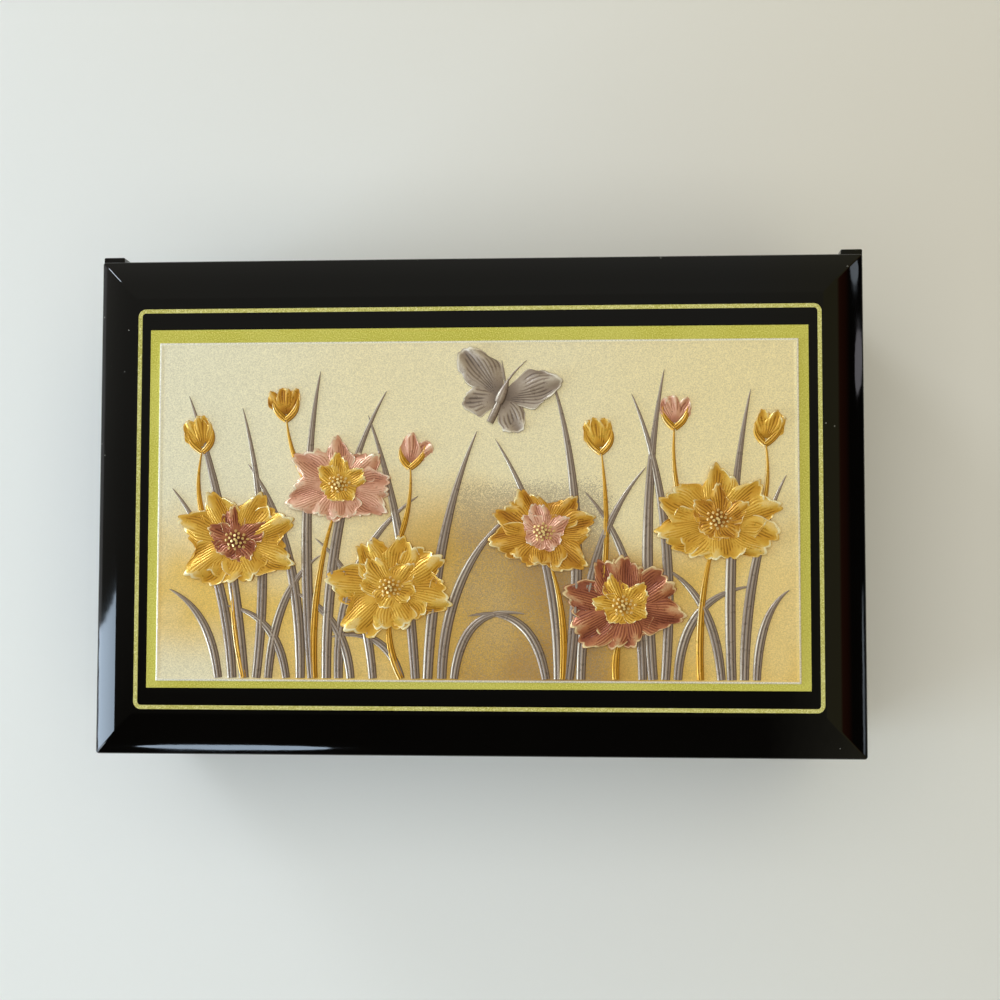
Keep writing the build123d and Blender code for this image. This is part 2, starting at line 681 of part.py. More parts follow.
def barrel_cover():
    z0 = Z_BED + BARREL_UP
    cover = post(BARREL_R - BARREL_WALL, z0, z0 + BARREL_WALL)
    cover -= post(ARBOR_R + ARBOR_FIT, z0, z0 + BARREL_WALL)
    return at_movement(Pos(X_BARREL, 0, 0) * cover)


def mainspring():
    # Wound strip inside the barrel's wall: half turns whose radius shrinks at a steady rate
    outer = spring_edge(SPRING_T / 2)
    inner = spring_edge(-SPRING_T / 2)
    caps = [Line(outer[0] @ 0, inner[0] @ 0), Line(outer[-1] @ 1, inner[-1] @ 1)]
    strip = extrude(make_face(Curve() + outer + inner + caps), amount=BARREL_H - 2 * BARREL_WALL - 1.0)
    return at_movement(Pos(X_BARREL, 0, Z_BED + BARREL_UP + BARREL_WALL + 0.5) * strip)


def spring_edge(offset):
    outer = BARREL_R - BARREL_WALL - SPRING_T
    arcs, x, side = [], -outer, 1
    for i in range(SPRING_HALF_TURNS):
        radius = outer - i * SPRING_PITCH / 2
        middle = x + side * radius
        arcs.append(
            ThreePointArc(
                (x - side * offset, 0), (middle, side * (radius + offset)),
                (middle + side * (radius + offset), 0)
            )
        )
        x, side = x + side * 2 * radius, -side
    return arcs


def key_levels():
    # Underside of the wings, foot of the hub, top of the wings and top of the hub
    hub_top = Z_UNDER - KEY_GAP
    wing_top = hub_top - KEY_NECK
    wing_foot = Z_BASE + KEY_LIFT
    return wing_foot, (wing_foot + wing_top) / 2 - KEY_DIP, wing_top, hub_top


def winding_arbor():
    arbor = post(ARBOR_R, key_levels()[1], Z_CROWN + CROWN_TIP)
    return at_movement(Pos(X_BARREL, 0, 0) * arbor)


def winding_key():
    wing_foot, hub_foot, wing_top, hub_top = key_levels()
    height = wing_top - wing_foot
    wings = SlotOverall(KEY_W, height)
    for side in (-1, 1):
        wings -= Pos(side * (KEY_W - height) / 2, 0) * Circle(height * 0.25)
    key = Pos(0, 0, (wing_foot + wing_top) / 2) * extrude(
        Plane.XZ * wings, amount=KEY_T / 2, both=True
    )
    key += post(KEY_HUB_R, hub_foot, hub_top)
    key -= post(ARBOR_R, hub_foot, hub_top)
    return at_movement(Pos(X_BARREL, 0, 0) * Rot(0, 0, 28) * key)


# Movement: cylinder, train and governor

def cylinder_arbor():
    x0 = X_BARREL + 4.9
    x1 = X_CHEEK_2 + CHEEK_T + 0.3
    spindle = rod(SPINDLE_R, x0 + 2.2, X_CHEEK_2 - 0.3, 0, Z_DRUM) + rod(JOURNAL_R, x0, x1, 0, Z_DRUM)
    leaves = toothed_disc(
        PINION_TEETH, PINION_R - 0.62, PINION_R + 0.45, 0.50, 0.20, turn=-90
    )
    pinion = Pos(X_PINION - PINION_T / 2, 0, Z_DRUM) * extrude(Plane.YZ * leaves, amount=PINION_T)
    return at_movement(spindle + pinion)


def pinned_drum():
    drum = rod(DRUM_R, X_DRUM, X_DRUM + DRUM_L, 0, Z_DRUM)
    drum -= rod(SPINDLE_R, X_DRUM, X_DRUM + DRUM_L, 0, Z_DRUM)
    pin = Pos(0, 0, (DRUM_R + PIN_CIRCLE) / 2 - 0.15) * Box(PIN_W, PIN_W, PIN_H + 0.3)
    pins = []
    for i in range(TRACKS):
        for k in range(PINS_A_TRACK):
            step = (5 * i + 7 * k + (i * k) % 3) % PIN_STEPS
            turn = Rot(360.0 * (step + 0.25) / PIN_STEPS, 0, 0)
            pins.append(Pos(track_x(i), 0, Z_DRUM) * turn * pin)
    return at_movement(drum.fuse(*pins))


def cylinder_gear():
    outline = toothed_disc(
        WHEEL_TEETH, WHEEL_R - 0.5, WHEEL_R + 0.38, 0.56, 0.22, turn=train_angle() + 5.0
    ) - Circle(SPINDLE_R)
    return at_movement(
        Pos(X_WHEEL, 0, Z_DRUM) * extrude(Plane.YZ * outline, amount=WHEEL_T)
    )


def train_angle():
    # Direction from the cylinder axis to the intermediate arbor, in the YZ plane
    return degrees(atan2(-TRAIN_DROP, Y_TRAIN))


def intermediate_arbor():
    x0, x1 = X_CHEEK, X_CHEEK_2 + CHEEK_T
    gap = 0.3
    shaft = rod(TRAIN_SPINDLE_R, x0 + CHEEK_T + gap, X_CHEEK_2 - gap, Y_TRAIN, Z_TRAIN)
    shaft += rod(TRAIN_SPINDLE_R * 0.75, x0, x1, Y_TRAIN, Z_TRAIN)
    leaves = toothed_disc(
        LEAF_TEETH, LEAF_R - 0.5, LEAF_R + 0.36, 0.46, 0.16, turn=train_angle() + 180
    )
    place = Pos(X_WHEEL - (LEAF_T - WHEEL_T) / 2, Y_TRAIN, Z_TRAIN)
    return at_movement(shaft + place * extrude(Plane.YZ * leaves, amount=LEAF_T))


def worm_wheel():
    outline = toothed_disc(
        WORM_WHEEL_TEETH, WORM_WHEEL_R - 0.5, WORM_WHEEL_R + 0.36, 0.52, 0.20, turn=0.0
    ) - Circle(TRAIN_SPINDLE_R)
    place = Pos(X_WORM_WHEEL, Y_TRAIN, Z_TRAIN)
    return at_movement(place * extrude(Plane.YZ * outline, amount=WORM_WHEEL_T))


def governor_worm():
    # Single-start thread, turned so that its groove faces the wheel's nearest tooth
    lead = pi * TRAIN_MODULE
    core = WORM_R - 0.48
    top = Z_FAN + FAN_H + TRAIN_GAP + CHEEK_T
    half = WORM_TURNS / 2 * lead
    shaft = post(GOVERNOR_R, Z_BED + 0.6, top)
    shaft += post(core, Z_TRAIN - half - WORM_END, Z_TRAIN + half + WORM_END)
    start = Z_TRAIN - half
    helix = Pos(0, 0, start) * Helix(pitch=lead, height=2 * half, radius=WORM_R)
    root = core - WORM_R - 0.1
    section = make_face(Polyline((root, -0.27 * lead), (0.42, 0), (root, 0.27 * lead), close=True))
    plane = Plane(origin=(WORM_R, 0, start), x_dir=(1, 0, 0), z_dir=(0, 1, 0))
    thread = sweep(plane * section, path=helix, is_frenet=True)
    worm = shaft + Rot(0, 0, 90 - 180 * WORM_TURNS) * thread
    return at_movement(Pos(X_GOVERNOR, Y_GOVERNOR, 0) * worm)


def air_brake_fan():
    hub = post(FAN_HUB_R, Z_FAN, Z_FAN + FAN_H) - post(GOVERNOR_R, Z_FAN, Z_FAN + FAN_H)
    for side in (-1, 1):
        x = sorted((side * 0.9, side * FAN_R * 0.97))
        blade = block(x[0], x[1], -FAN_T / 2, FAN_T / 2, Z_FAN, Z_FAN + FAN_H)
        outer = blade.edges().filter_by(Axis.Y).group_by(Axis.X)[-1 if side > 0 else 0]
        hub += chamfer(outer, FAN_T * 2)
    return at_movement(Pos(X_GOVERNOR, Y_GOVERNOR, 0) * Rot(0, 0, 35) * hub)


# Stop lever worked by the lid

def stop_lever():
    top = (LEVER_LEAN, Z_LINING - LEVER_GAP - LEVER_Z)
    tip = -(LEVER_BACK - FAN_R - LEVER_GAP)
    finger_z = Z_FAN + FAN_H / 2 - LEVER_Z
    lean = degrees(atan2(top[0], top[1]))
    arm_l = sqrt(top[0] ** 2 + top[1] ** 2)
    arm = Rot(0, 0, -lean) * Pos(0, arm_l / 2) * Rectangle(LEVER_T, arm_l)
    finger = Pos((tip + 1.0) / 2, finger_z) * Rectangle(1.0 - tip, LEVER_T)
    outline = arm + finger + Circle(LEVER_HUB_R) - Circle(PIN_R + PIN_FIT)
    lever = extrude(Plane.YZ * outline, amount=LEVER_W / 2, both=True)
    return Pos(LEVER_X, LEVER_Y, LEVER_Z) * lever


def lever_bracket():
    gap = LEVER_W / 2 + LEVER_GAP
    half = LEVER_HUB_R + 1.0
    bracket = block(
        -gap - CHEEK_T, gap + CHEEK_T, -half - 1.5, half + 1.5, 0, CHEEK_T
    )
    for x in (-gap - CHEEK_T, gap):
        side = Pos(0, LEVER_UP / 2) * Rectangle(2 * half, LEVER_UP) + Pos(0, LEVER_UP) * Circle(half)
        bracket += Pos(x, 0, 0) * extrude(Plane.YZ * side, amount=CHEEK_T)
    bracket -= rod(PIN_R, -gap - CHEEK_T, gap + CHEEK_T, 0, LEVER_UP)
    return Pos(LEVER_X, LEVER_Y, Z_FLOOR) * bracket


def lever_pin():
    reach = LEVER_W / 2 + LEVER_GAP + CHEEK_T
    return Pos(LEVER_X, LEVER_Y, LEVER_Z) * rod(PIN_R, -reach, reach)


PARTS = {
    "lid_shell": lid_shell,
    "gold_line": gold_line,
    "gold_band": gold_band,
    "plaque_plate": plaque_plate,
    "lid_lining": lid_lining,
    "mirror_glass": lambda: lid_sheet(Z_MIRROR, Z_MIRROR + MIRROR_T),
    "mirror_backing": lambda: lid_sheet(Z_MIRROR + MIRROR_T, Z_CEILING),
    "case_shell": case_shell,
    "feet": feet,
    "hinge_pins": hinge_pins,
    "tray_insert": tray_insert,
    "movement_window": movement_window,
    "bedplate": bedplate,
    "cylinder_bridge": cylinder_bridge,
    "train_bracket": train_bracket,
    "governor_bridge": governor_bridge,
    "comb": comb,
    "comb_weights": comb_weights,
    "comb_screws": comb_screws,
    "mounting_screws": mounting_screws,
    "spring_barrel": spring_barrel,
    "barrel_cover": barrel_cover,
    "mainspring": mainspring,
    "winding_arbor": winding_arbor,
    "winding_key": winding_key,
    "cylinder_arbor": cylinder_arbor,
    "pinned_drum": pinned_drum,
    "cylinder_gear": cylinder_gear,
    "intermediate_arbor": intermediate_arbor,
    "worm_wheel": worm_wheel,
    "governor_worm": governor_worm,
    "air_brake_fan": air_brake_fan,
    "stop_lever": stop_lever,
    "lever_bracket": lever_bracket,
    "lever_pin": lever_pin,
}

os.makedirs("parts", exist_ok=True)
for name, make in PARTS.items():
    export_step(make(), f"parts/{name}.step")
for index in range(ROLLS):
    export_step(ring_roll(index), f"parts/ring_roll_{index + 1}.step")
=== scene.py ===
import json
from math import atan2, cos, pi, radians, sin, tan

import bmesh
import bpy
import numpy as np
from mathutils import Matrix, Vector

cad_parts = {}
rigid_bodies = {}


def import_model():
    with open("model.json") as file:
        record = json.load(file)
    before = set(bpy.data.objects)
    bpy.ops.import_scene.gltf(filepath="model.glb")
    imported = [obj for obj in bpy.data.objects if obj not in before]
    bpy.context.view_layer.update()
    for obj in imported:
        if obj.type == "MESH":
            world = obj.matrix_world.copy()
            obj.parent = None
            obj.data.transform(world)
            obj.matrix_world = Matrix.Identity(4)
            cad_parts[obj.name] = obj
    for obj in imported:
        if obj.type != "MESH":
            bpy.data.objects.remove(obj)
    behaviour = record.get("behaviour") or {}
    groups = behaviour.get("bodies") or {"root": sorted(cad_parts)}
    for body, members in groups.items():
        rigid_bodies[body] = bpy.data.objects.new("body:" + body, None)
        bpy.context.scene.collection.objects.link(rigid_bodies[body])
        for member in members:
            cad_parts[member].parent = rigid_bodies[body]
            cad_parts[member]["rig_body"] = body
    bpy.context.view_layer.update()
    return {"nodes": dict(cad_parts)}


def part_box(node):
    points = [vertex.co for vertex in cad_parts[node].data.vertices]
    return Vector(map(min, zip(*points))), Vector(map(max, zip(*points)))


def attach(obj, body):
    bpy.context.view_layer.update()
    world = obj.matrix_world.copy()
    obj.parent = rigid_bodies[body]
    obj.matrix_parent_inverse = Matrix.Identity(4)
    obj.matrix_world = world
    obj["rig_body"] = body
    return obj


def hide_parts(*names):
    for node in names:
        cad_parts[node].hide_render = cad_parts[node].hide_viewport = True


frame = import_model()
NODES = frame["nodes"]
MM = 0.001

# Camera: stands nearly over the closed lid
CAMERA_PLACE = (0.03161, -0.02122, 0.46154)
CAMERA_TURN = (0.056504, 0.064655, -0.000091)   # axis times angle
CAMERA_LENS = 57.6
SENSOR = 36.0

camera_data = bpy.data.cameras.new("camera")
camera_data.lens = CAMERA_LENS
camera_data.sensor_width = SENSOR
camera = bpy.data.objects.new("camera", camera_data)
bpy.context.scene.collection.objects.link(camera)
turn = Vector(CAMERA_TURN)
camera.matrix_world = Matrix.Translation(CAMERA_PLACE) @ Matrix.Rotation(turn.length, 4, turn.normalized())
bpy.context.scene.camera = camera
bpy.context.scene.view_settings.view_transform = "Standard"


# Finishes

def fill_ramp(ramp, stops):
    while len(ramp.elements) < len(stops):
        ramp.elements.new(0.5)
    for element, (position, colour) in zip(ramp.elements, stops):
        element.position = position
        element.color = (*colour, 1.0)


class Finish:
    """A material with one Principled shader and short ways to feed it."""

    def __init__(self, name, **sockets):
        self.material = bpy.data.materials.new(name)
        self.material.use_nodes = True
        self.tree = self.material.node_tree
        self.shader = self.tree.nodes["Principled BSDF"]
        self.place = self.add("ShaderNodeTexCoord").outputs["Object"]
        for socket, value in sockets.items():
            self.shader.inputs[socket.replace("_", " ")].default_value = value

    def add(self, kind, **settings):
        node = self.tree.nodes.new(kind)
        for key, value in settings.items():
            setattr(node, key, value)
        return node

    def link(self, source, target):
        self.tree.links.new(source, target)

    def feed(self, node, values):
        for key, value in values.items():
            if hasattr(value, "is_output"):
                self.link(value, node.inputs[key])
            else:
                node.inputs[key].default_value = value

    def stretched(self, scale):
        node = self.add("ShaderNodeMapping")
        self.feed(node, {"Vector": self.place, "Scale": scale})
        return node.outputs["Vector"]

    def noise(self, scale, detail=2.0, roughness=0.5, at=None):
        node = self.add("ShaderNodeTexNoise")
        self.feed(node, {
            "Vector": at or self.place, "Scale": scale, "Detail": detail, "Roughness": roughness
        })
        return node.outputs["Fac"]

    def cells(self, scale):
        node = self.add("ShaderNodeTexVoronoi")
        self.feed(node, {"Vector": self.place, "Scale": scale})
        return node.outputs["Distance"]

    def attribute(self, name):
        return self.add("ShaderNodeAttribute", attribute_name=name).outputs["Fac"]

    def axis(self, letter):
        node = self.add("ShaderNodeSeparateXYZ")
        self.link(self.place, node.inputs[0])
        return node.outputs[letter]

    def maths(self, operation, a, b=0.0):
        node = self.add("ShaderNodeMath", operation=operation)
        self.feed(node, {0: a, 1: b})
        return node.outputs[0]

    def remap(self, value, low, high, out_low=0.0, out_high=1.0):
        node = self.add("ShaderNodeMapRange", interpolation_type="SMOOTHSTEP")
        self.feed(node, {
            "Value": value, "From Min": low, "From Max": high, "To Min": out_low, "To Max": out_high
        })
        return node.outputs["Result"]

    def blend(self, share, first, second, kind="MIX"):
        node = self.add("ShaderNodeMix", data_type="RGBA", blend_type=kind)
        for index, value in ((0, share), (6, first), (7, second)):
            if hasattr(value, "is_output"):
                self.link(value, node.inputs[index])
            elif index == 0:
                node.inputs[0].default_value = value
            else:
                node.inputs[index].default_value = (*value, 1.0)
        return node.outputs[2]

    def shades(self, value, *stops):
        node = self.add("ShaderNodeValToRGB")
        fill_ramp(node.color_ramp, stops)
        self.link(value, node.inputs["Fac"])
        return node.outputs["Color"]

    def colour(self, source):
        self.link(source, self.shader.inputs["Base Color"])
        return self

    def rough(self, source):
        self.link(source, self.shader.inputs["Roughness"])
        return self

    def relief(self, height, depth, strength=1.0):
        node = self.add("ShaderNodeBump")
        self.feed(node, {"Height": height, "Distance": depth, "Strength": strength})
        self.link(node.outputs["Normal"], self.shader.inputs["Normal"])
        return self


def black_lacquer():
    f = Finish("black_lacquer", Specular_IOR_Level=0.42)
    dust = f.maths("LESS_THAN", f.cells(260.0), 0.055)
    chosen = f.maths("GREATER_THAN", f.noise(41.0, 0.0), 0.62)
    specks = f.maths("MULTIPLY", dust, chosen)
    cloud = f.shades(f.noise(14.0, 3.0), (0.3, (0.0010, 0.0008, 0.0006)), (0.8, (0.0020, 0.0017, 0.0012)))
    f.colour(f.blend(specks, cloud, (0.14, 0.14, 0.13)))
    f.rough(f.remap(f.noise(55.0, 4.0), 0.3, 0.8, 0.03, 0.07))
    return f.relief(f.noise(230.0, 1.0), 0.00003, 0.25).material


def foil(name, base, bright, deep):
    f = Finish(name, Metallic=0.35)
    grain = f.noise(3400.0, 1.0)
    wash = f.noise(60.0, 2.0)
    toned = f.shades(grain, (0.30, deep), (0.52, base), (0.72, bright))
    f.colour(f.blend(f.remap(wash, 0.3, 0.7, 0.0, 0.25), toned, bright))
    f.rough(f.remap(grain, 0.3, 0.7, 0.34, 0.5))
    return f.relief(grain, 0.00004, 0.5).material


def plaque_ground(half_w, half_d, middle_y):
    """Silvery sheet turning to gold below, with a mist of ash dots and a painted highlight along its edge."""
    f = Finish("plaque_ground", Metallic=0.25)
    silver, cream, straw = (0.89, 0.86, 0.655), (0.905, 0.825, 0.55), (0.92, 0.80, 0.46)
    gold, amber, ash = (0.86, 0.60, 0.16), (0.47, 0.25, 0.042), (0.34, 0.27, 0.19)
    x, y = f.axis("X"), f.axis("Y")
    drift = f.noise(19.0, 3.0, 0.55)
    cloud = f.noise(33.0, 2.0)
    sky = f.shades(f.remap(x, -half_w, half_w), (0.0, silver), (0.25, cream), (0.7, cream), (1.0, straw))
    uneven = f.maths("MULTIPLY", f.maths("SUBTRACT", drift, 0.5), 0.06)
    lifted = f.maths("ADD", f.maths("ADD", y, uneven), f.maths("MULTIPLY", x, 0.05))
    mist = f.maths("MULTIPLY", f.remap(lifted, 0.004, -0.024), f.remap(cloud, 0.30, 0.55, 0.55, 1.0))
    ground = f.blend(mist, sky, gold)
    middle = f.maths("ABSOLUTE", f.maths("SUBTRACT", x, 0.014))
    pool = f.maths("MULTIPLY", f.remap(middle, 0.050, 0.014), f.remap(lifted, 0.002, -0.020))
    ground = f.blend(f.maths("MULTIPLY", pool, f.remap(drift, 0.30, 0.52, 0.5, 1.0)), ground, amber)
    corner = f.maths("MULTIPLY", f.remap(y, -0.026, -0.042), f.remap(x, -0.040, -0.068))
    ground = f.blend(f.maths("MULTIPLY", corner, 0.9), ground, silver)
    haze = f.maths("MULTIPLY", f.remap(middle, 0.026, 0.014), f.remap(y, 0.012, 0.0))
    thick = f.maths("MULTIPLY", haze, f.remap(f.noise(12.0, 1.0), 0.30, 0.55, 0.4, 0.7))
    dots = f.maths("LESS_THAN", f.noise(4600.0, 1.0), f.remap(thick, 0.0, 0.7, 0.22, 0.57))
    ground = f.blend(f.maths("MULTIPLY", dots, 0.55), ground, ash)
    grain = f.noise(3300.0, 2.0, 0.6)
    sparkle = f.shades(grain, (0.30, (0.80, 0.80, 0.79)), (0.55, (1.0, 1.0, 1.0)), (0.74, (1.18, 1.17, 1.14)))
    ground = f.blend(1.0, ground, sparkle, "MULTIPLY")
    # Painted highlight: a near-white line along the rolled edge, which is also made glossier there.
    off_middle = f.maths("ABSOLUTE", f.maths("SUBTRACT", y, middle_y))
    off_side = f.maths("SUBTRACT", f.maths("ABSOLUTE", x), half_w - half_d)
    edge = f.remap(f.maths("MAXIMUM", off_side, off_middle), half_d - 0.0006, half_d - 0.0004)
    f.colour(f.blend(f.maths("MULTIPLY", edge, 0.8), ground, (0.97, 0.96, 0.88)))
    matt_grain = f.remap(grain, 0.3, 0.7, 0.40, 0.55)
    f.rough(f.maths("SUBTRACT", matt_grain, f.maths("MULTIPLY", edge, 0.2)))
    return f.relief(grain, 0.00005, 0.5).material


def embossed(name, deep, body, light, bright, metallic=0.35):
    """Tinted sheet metal: dark in the engraved lines, with painted shade in the hollows and painted
    highlights on the ridges and margins.
    """
    f = Finish(name, Metallic=metallic)
    # The point attribute read here holds painted shade and painted highlights, broken up by grain.
    tone_and_painted_light = f.attribute("tone_and_painted_light")
    grain = f.noise(2600.0, 1.0)
    uneven_painted_light = f.maths("ADD", tone_and_painted_light, f.maths("MULTIPLY", f.maths("SUBTRACT", grain, 0.5), 0.14))
    patina = f.remap(f.noise(120.0, 2.0), 0.35, 0.70, 0.0, 0.22)
    toned = f.shades(uneven_painted_light, (0.06, deep), (0.40, body), (0.68, light), (0.96, bright))
    f.colour(f.blend(patina, toned, body))
    f.rough(f.remap(f.noise(700.0, 2.0), 0.3, 0.7, 0.26, 0.42))
    return f.relief(grain, 0.00003, 0.35).material


def metal(name, colour, stain, rough, streak=(1.0, 1.0, 1.0), grain=900.0, depth=0.00002):
    f = Finish(name, Metallic=1.0)
    lines = f.noise(grain, 3.0, 0.6, at=f.stretched(streak))
    tarnish = f.remap(f.noise(130.0, 3.0), 0.42, 0.75)
    f.colour(f.blend(f.maths("MULTIPLY", tarnish, 0.55), colour, stain))
    f.rough(f.remap(lines, 0.25, 0.75, rough * 0.75, rough * 1.35))
    return f.relief(lines, depth, 0.4).material


def velvet(name, deep, body, sheen):
    f = Finish(name, Roughness=0.92, Sheen_Weight=0.7, Sheen_Roughness=0.45, Sheen_Tint=(*sheen, 1.0))
    pile = f.noise(2300.0, 2.0, 0.7)
    brushed = f.noise(34.0, 3.0, 0.6, at=f.stretched((1.0, 2.2, 1.0)))
    tone = f.maths("ADD", f.maths("MULTIPLY", pile, 0.45), f.maths("MULTIPLY", brushed, 0.6))
    f.colour(f.shades(tone, (0.34, deep), (0.72, body)))
    return f.relief(pile, 0.00022, 0.8).material


def plain(name, dark, light, rough, scale=600.0, depth=0.00003, **sockets):
    f = Finish(name, **sockets)
    grain = f.noise(scale, 3.0, 0.6)
    f.colour(f.shades(grain, (0.3, dark), (0.7, light)))
    f.rough(f.remap(grain, 0.3, 0.7, rough * 0.85, min(1.0, rough * 1.15)))
    return f.relief(grain, depth, 0.5).material


def mirror_silver():
    f = Finish("mirror_silver", Metallic=1.0)
    wipe = f.noise(40.0, 4.0, 0.6, at=f.stretched((1.0, 3.0, 1.0)))
    f.colour(f.shades(wipe, (0.3, (0.86, 0.88, 0.88)), (0.7, (0.90, 0.92, 0.915))))
    f.rough(f.remap(wipe, 0.45, 0.8, 0.015, 0.05))
    return f.material


def clear_sheet():
    f = Finish(
        "clear_sheet", Base_Color=(0.95, 0.97, 0.97, 1.0), Transmission_Weight=1.0, IOR=1.47
    )
    f.rough(f.remap(f.noise(70.0, 4.0), 0.5, 0.85, 0.01, 0.06))
    return f.material


LACQUER = black_lacquer()
LINE_FOIL = foil("line_foil", (0.65, 0.63, 0.17), (0.88, 0.86, 0.42), (0.46, 0.43, 0.07))
BAND_FOIL = foil("band_foil", (0.65, 0.625, 0.10), (0.83, 0.80, 0.24), (0.51, 0.47, 0.045))
GOLD_PETAL = embossed(
    "gold_petal", (0.16, 0.055, 0.004), (0.65, 0.32, 0.022), (0.88, 0.56, 0.095), (1.0, 0.92, 0.58)
)
AMBER_PETAL = embossed(
    "amber_petal", (0.14, 0.042, 0.003), (0.47, 0.19, 0.012), (0.80, 0.44, 0.055), (1.0, 0.88, 0.48)
)
COPPER_PETAL = embossed(
    "copper_petal", (0.070, 0.016, 0.008), (0.26, 0.066, 0.033), (0.55, 0.205, 0.09), (1.0, 0.84, 0.46)
)
ROSE_PETAL = embossed(
    "rose_petal", (0.24, 0.075, 0.040), (0.60, 0.26, 0.16), (0.88, 0.52, 0.36), (1.0, 0.92, 0.70)
)
PEWTER = embossed(
    "pewter_leaf", (0.090, 0.070, 0.058), (0.29, 0.225, 0.18), (0.50, 0.42, 0.34),
    (0.98, 0.93, 0.78), 0.25,
)
WINE_FLOCK = velvet("wine_flock", (0.085, 0.004, 0.012), (0.30, 0.022, 0.05), (0.95, 0.45, 0.5))
WINE_VELVET = velvet("wine_velvet", (0.10, 0.005, 0.015), (0.36, 0.03, 0.065), (1.0, 0.5, 0.55))
MIRROR = mirror_silver()
CARD = plain("grey_card", (0.42, 0.41, 0.38), (0.55, 0.54, 0.51), 0.85, 900.0, 0.00008)
RUBBER = plain("black_rubber", (0.012, 0.012, 0.012), (0.03, 0.03, 0.03), 0.8, 1500.0, 0.00006)
STEEL = metal("ground_steel", (0.62, 0.62, 0.61), (0.40, 0.38, 0.35), 0.26, (1.0, 14.0, 14.0))
BLUED = metal("spring_steel", (0.50, 0.51, 0.53), (0.32, 0.30, 0.30), 0.30, (14.0, 1.0, 14.0))
ZINC = plain("cast_zinc", (0.40, 0.41, 0.42), (0.52, 0.53, 0.54), 0.48, 1100.0, 0.00007, Metallic=0.9)
BRASS = metal("turned_brass", (0.83, 0.60, 0.25), (0.55, 0.34, 0.12), 0.24, (16.0, 1.0, 1.0))
BARREL_BRASS = metal("barrel_brass", (0.81, 0.58, 0.24), (0.52, 0.32, 0.11), 0.28, (1.0, 1.0, 16.0))
LEAD = plain("dull_lead", (0.16, 0.165, 0.17), (0.26, 0.265, 0.27), 0.6, 1300.0, 0.00006, Metallic=0.8)
NYLON = plain("natural_nylon", (0.72, 0.69, 0.60), (0.80, 0.77, 0.68), 0.42, 500.0, 0.00002)
CLEAR = clear_sheet()


# Mesh work

SHARP = 35.0        # faces that meet at more than this angle keep a crisp edge
SOFT_FORM = 60.0    # the same for the relief and the ring rolls
SAME_POINT = 1e-7   # points nearer than this are merged, in metres
SEAM = 2e-6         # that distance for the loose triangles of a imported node


def shade(mesh, degrees):
    """Smooth faces, with every edge sharper than the angle left crisp."""
    work = bmesh.new()
    work.from_mesh(mesh)
    for face in work.faces:
        face.smooth = True
    for edge in work.edges:
        edge.smooth = edge.is_manifold and edge.calc_face_angle(pi) < radians(degrees)
    work.to_mesh(mesh)
    work.free()


def place_piece(name, mesh, body, material, replaced=(), degrees=SHARP, weighted=True):
    piece = bpy.data.objects.new(name, mesh)
    bpy.context.scene.collection.objects.link(piece)
    mesh.materials.clear()
    mesh.materials.append(material)
    if degrees:
        shade(mesh, degrees)
    if weighted:
        even = piece.modifiers.new("even_shading", "WEIGHTED_NORMAL")
        even.keep_sharp = True
    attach(piece, body)
    if replaced:
        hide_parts(*replaced)
    return piece


def closed_mesh(name, verts, faces):
    """A mesh from points in millimetres, with its doubles merged and its faces turned outwards."""
    mesh = bpy.data.meshes.new(name)
    mesh.from_pydata([tuple(c * MM for c in v) for v in verts], [], faces)
    work = bmesh.new()
    work.from_mesh(mesh)
    bmesh.ops.remove_doubles(work, verts=work.verts, dist=SAME_POINT)
    bmesh.ops.recalc_face_normals(work, faces=work.faces)
    work.to_mesh(mesh)
    work.free()
    return mesh


CORNER_STEPS = 4


def rectangle_ring(half_w, half_d, z, corner):
    """A rectangle with round corners, counterclockwise from above."""
    ring = []
    for sx, sy, start in ((1, 1, 0), (-1, 1, 90), (-1, -1, 180), (1, -1, 270)):
        for i in range(CORNER_STEPS + 1):
            angle = radians(start + 90.0 * i / CORNER_STEPS)
            ring.append((
                sx * (half_w - corner) + corner * cos(angle),
                sy * (half_d - corner) + corner * sin(angle), z,
            ))
    return ring


def ring_shell(name, rings):
    """A closed form: rings of equal count joined in turn, with a face over each end."""
    verts, faces = [], []
    for ring in rings:
        verts.extend(ring)
    count = len(rings[0])
    for k in range(len(rings) - 1):
        for i in range(count):
            j = (i + 1) % count
            faces.append((k * count + i, k * count + j, (k + 1) * count + j, (k + 1) * count + i))
    faces.append(tuple(range(count)))
    faces.append(tuple(len(verts) - count + i for i in range(count)))
    return closed_mesh(name, verts, faces)


def finished(node, material):
    """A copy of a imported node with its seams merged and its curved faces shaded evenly."""
    source = NODES[node]
    mesh = source.data.copy()
    mesh.name = node + "_finish"
    work = bmesh.new()
    work.from_mesh(mesh)
    bmesh.ops.remove_doubles(work, verts=work.verts, dist=SEAM)
    work.to_mesh(mesh)
    work.free()
    if mesh.has_custom_normals:
        mesh.attributes.remove(mesh.attributes["custom_normal"])
    return place_piece(node + "_finish", mesh, source["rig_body"], material, (node,))


# Lid, in millimetres

HALF_W, HALF_D = 96.0, 62.5
Z_LID, Z_TOP, Z_FACE = 56.0, 69.2, 70.0     # lower edge, level top, face of the plaque
RIM_H, RIM_FLAT, RIM_LEAN = 8.5, 1.2, 0.3   # rim, its upright part, its lean above that
PILLOW_IN, LEVEL_IN = 10.8, 1.2             # side to the level top, and the first step on it
CEILING, WALL = 66.7, 2.5
ROLL_R = 0.9            # round edge between rim and pillow
SLOPE = radians(37.0)   # steepest part of the pillow, at the rim
EASE = 1.69             # how the slope eases towards the level top
RIM_CORNER, CREASE_R, LEAST_R = 0.9, 0.3, 0.02
INNER_CORNER = 0.3
PILLOW_STEPS, ROLL_STEPS = 40, 10
# Foot of the rim: inset, height over the lower edge, corner radius
RIM_FOOT = (
    (0.35, 0.0, 0.7), (0.06, 0.08, 0.95), (0.0, 0.3, 1.0), (0.0, 1.05, 1.0), (0.03, 1.4, 0.97),
)
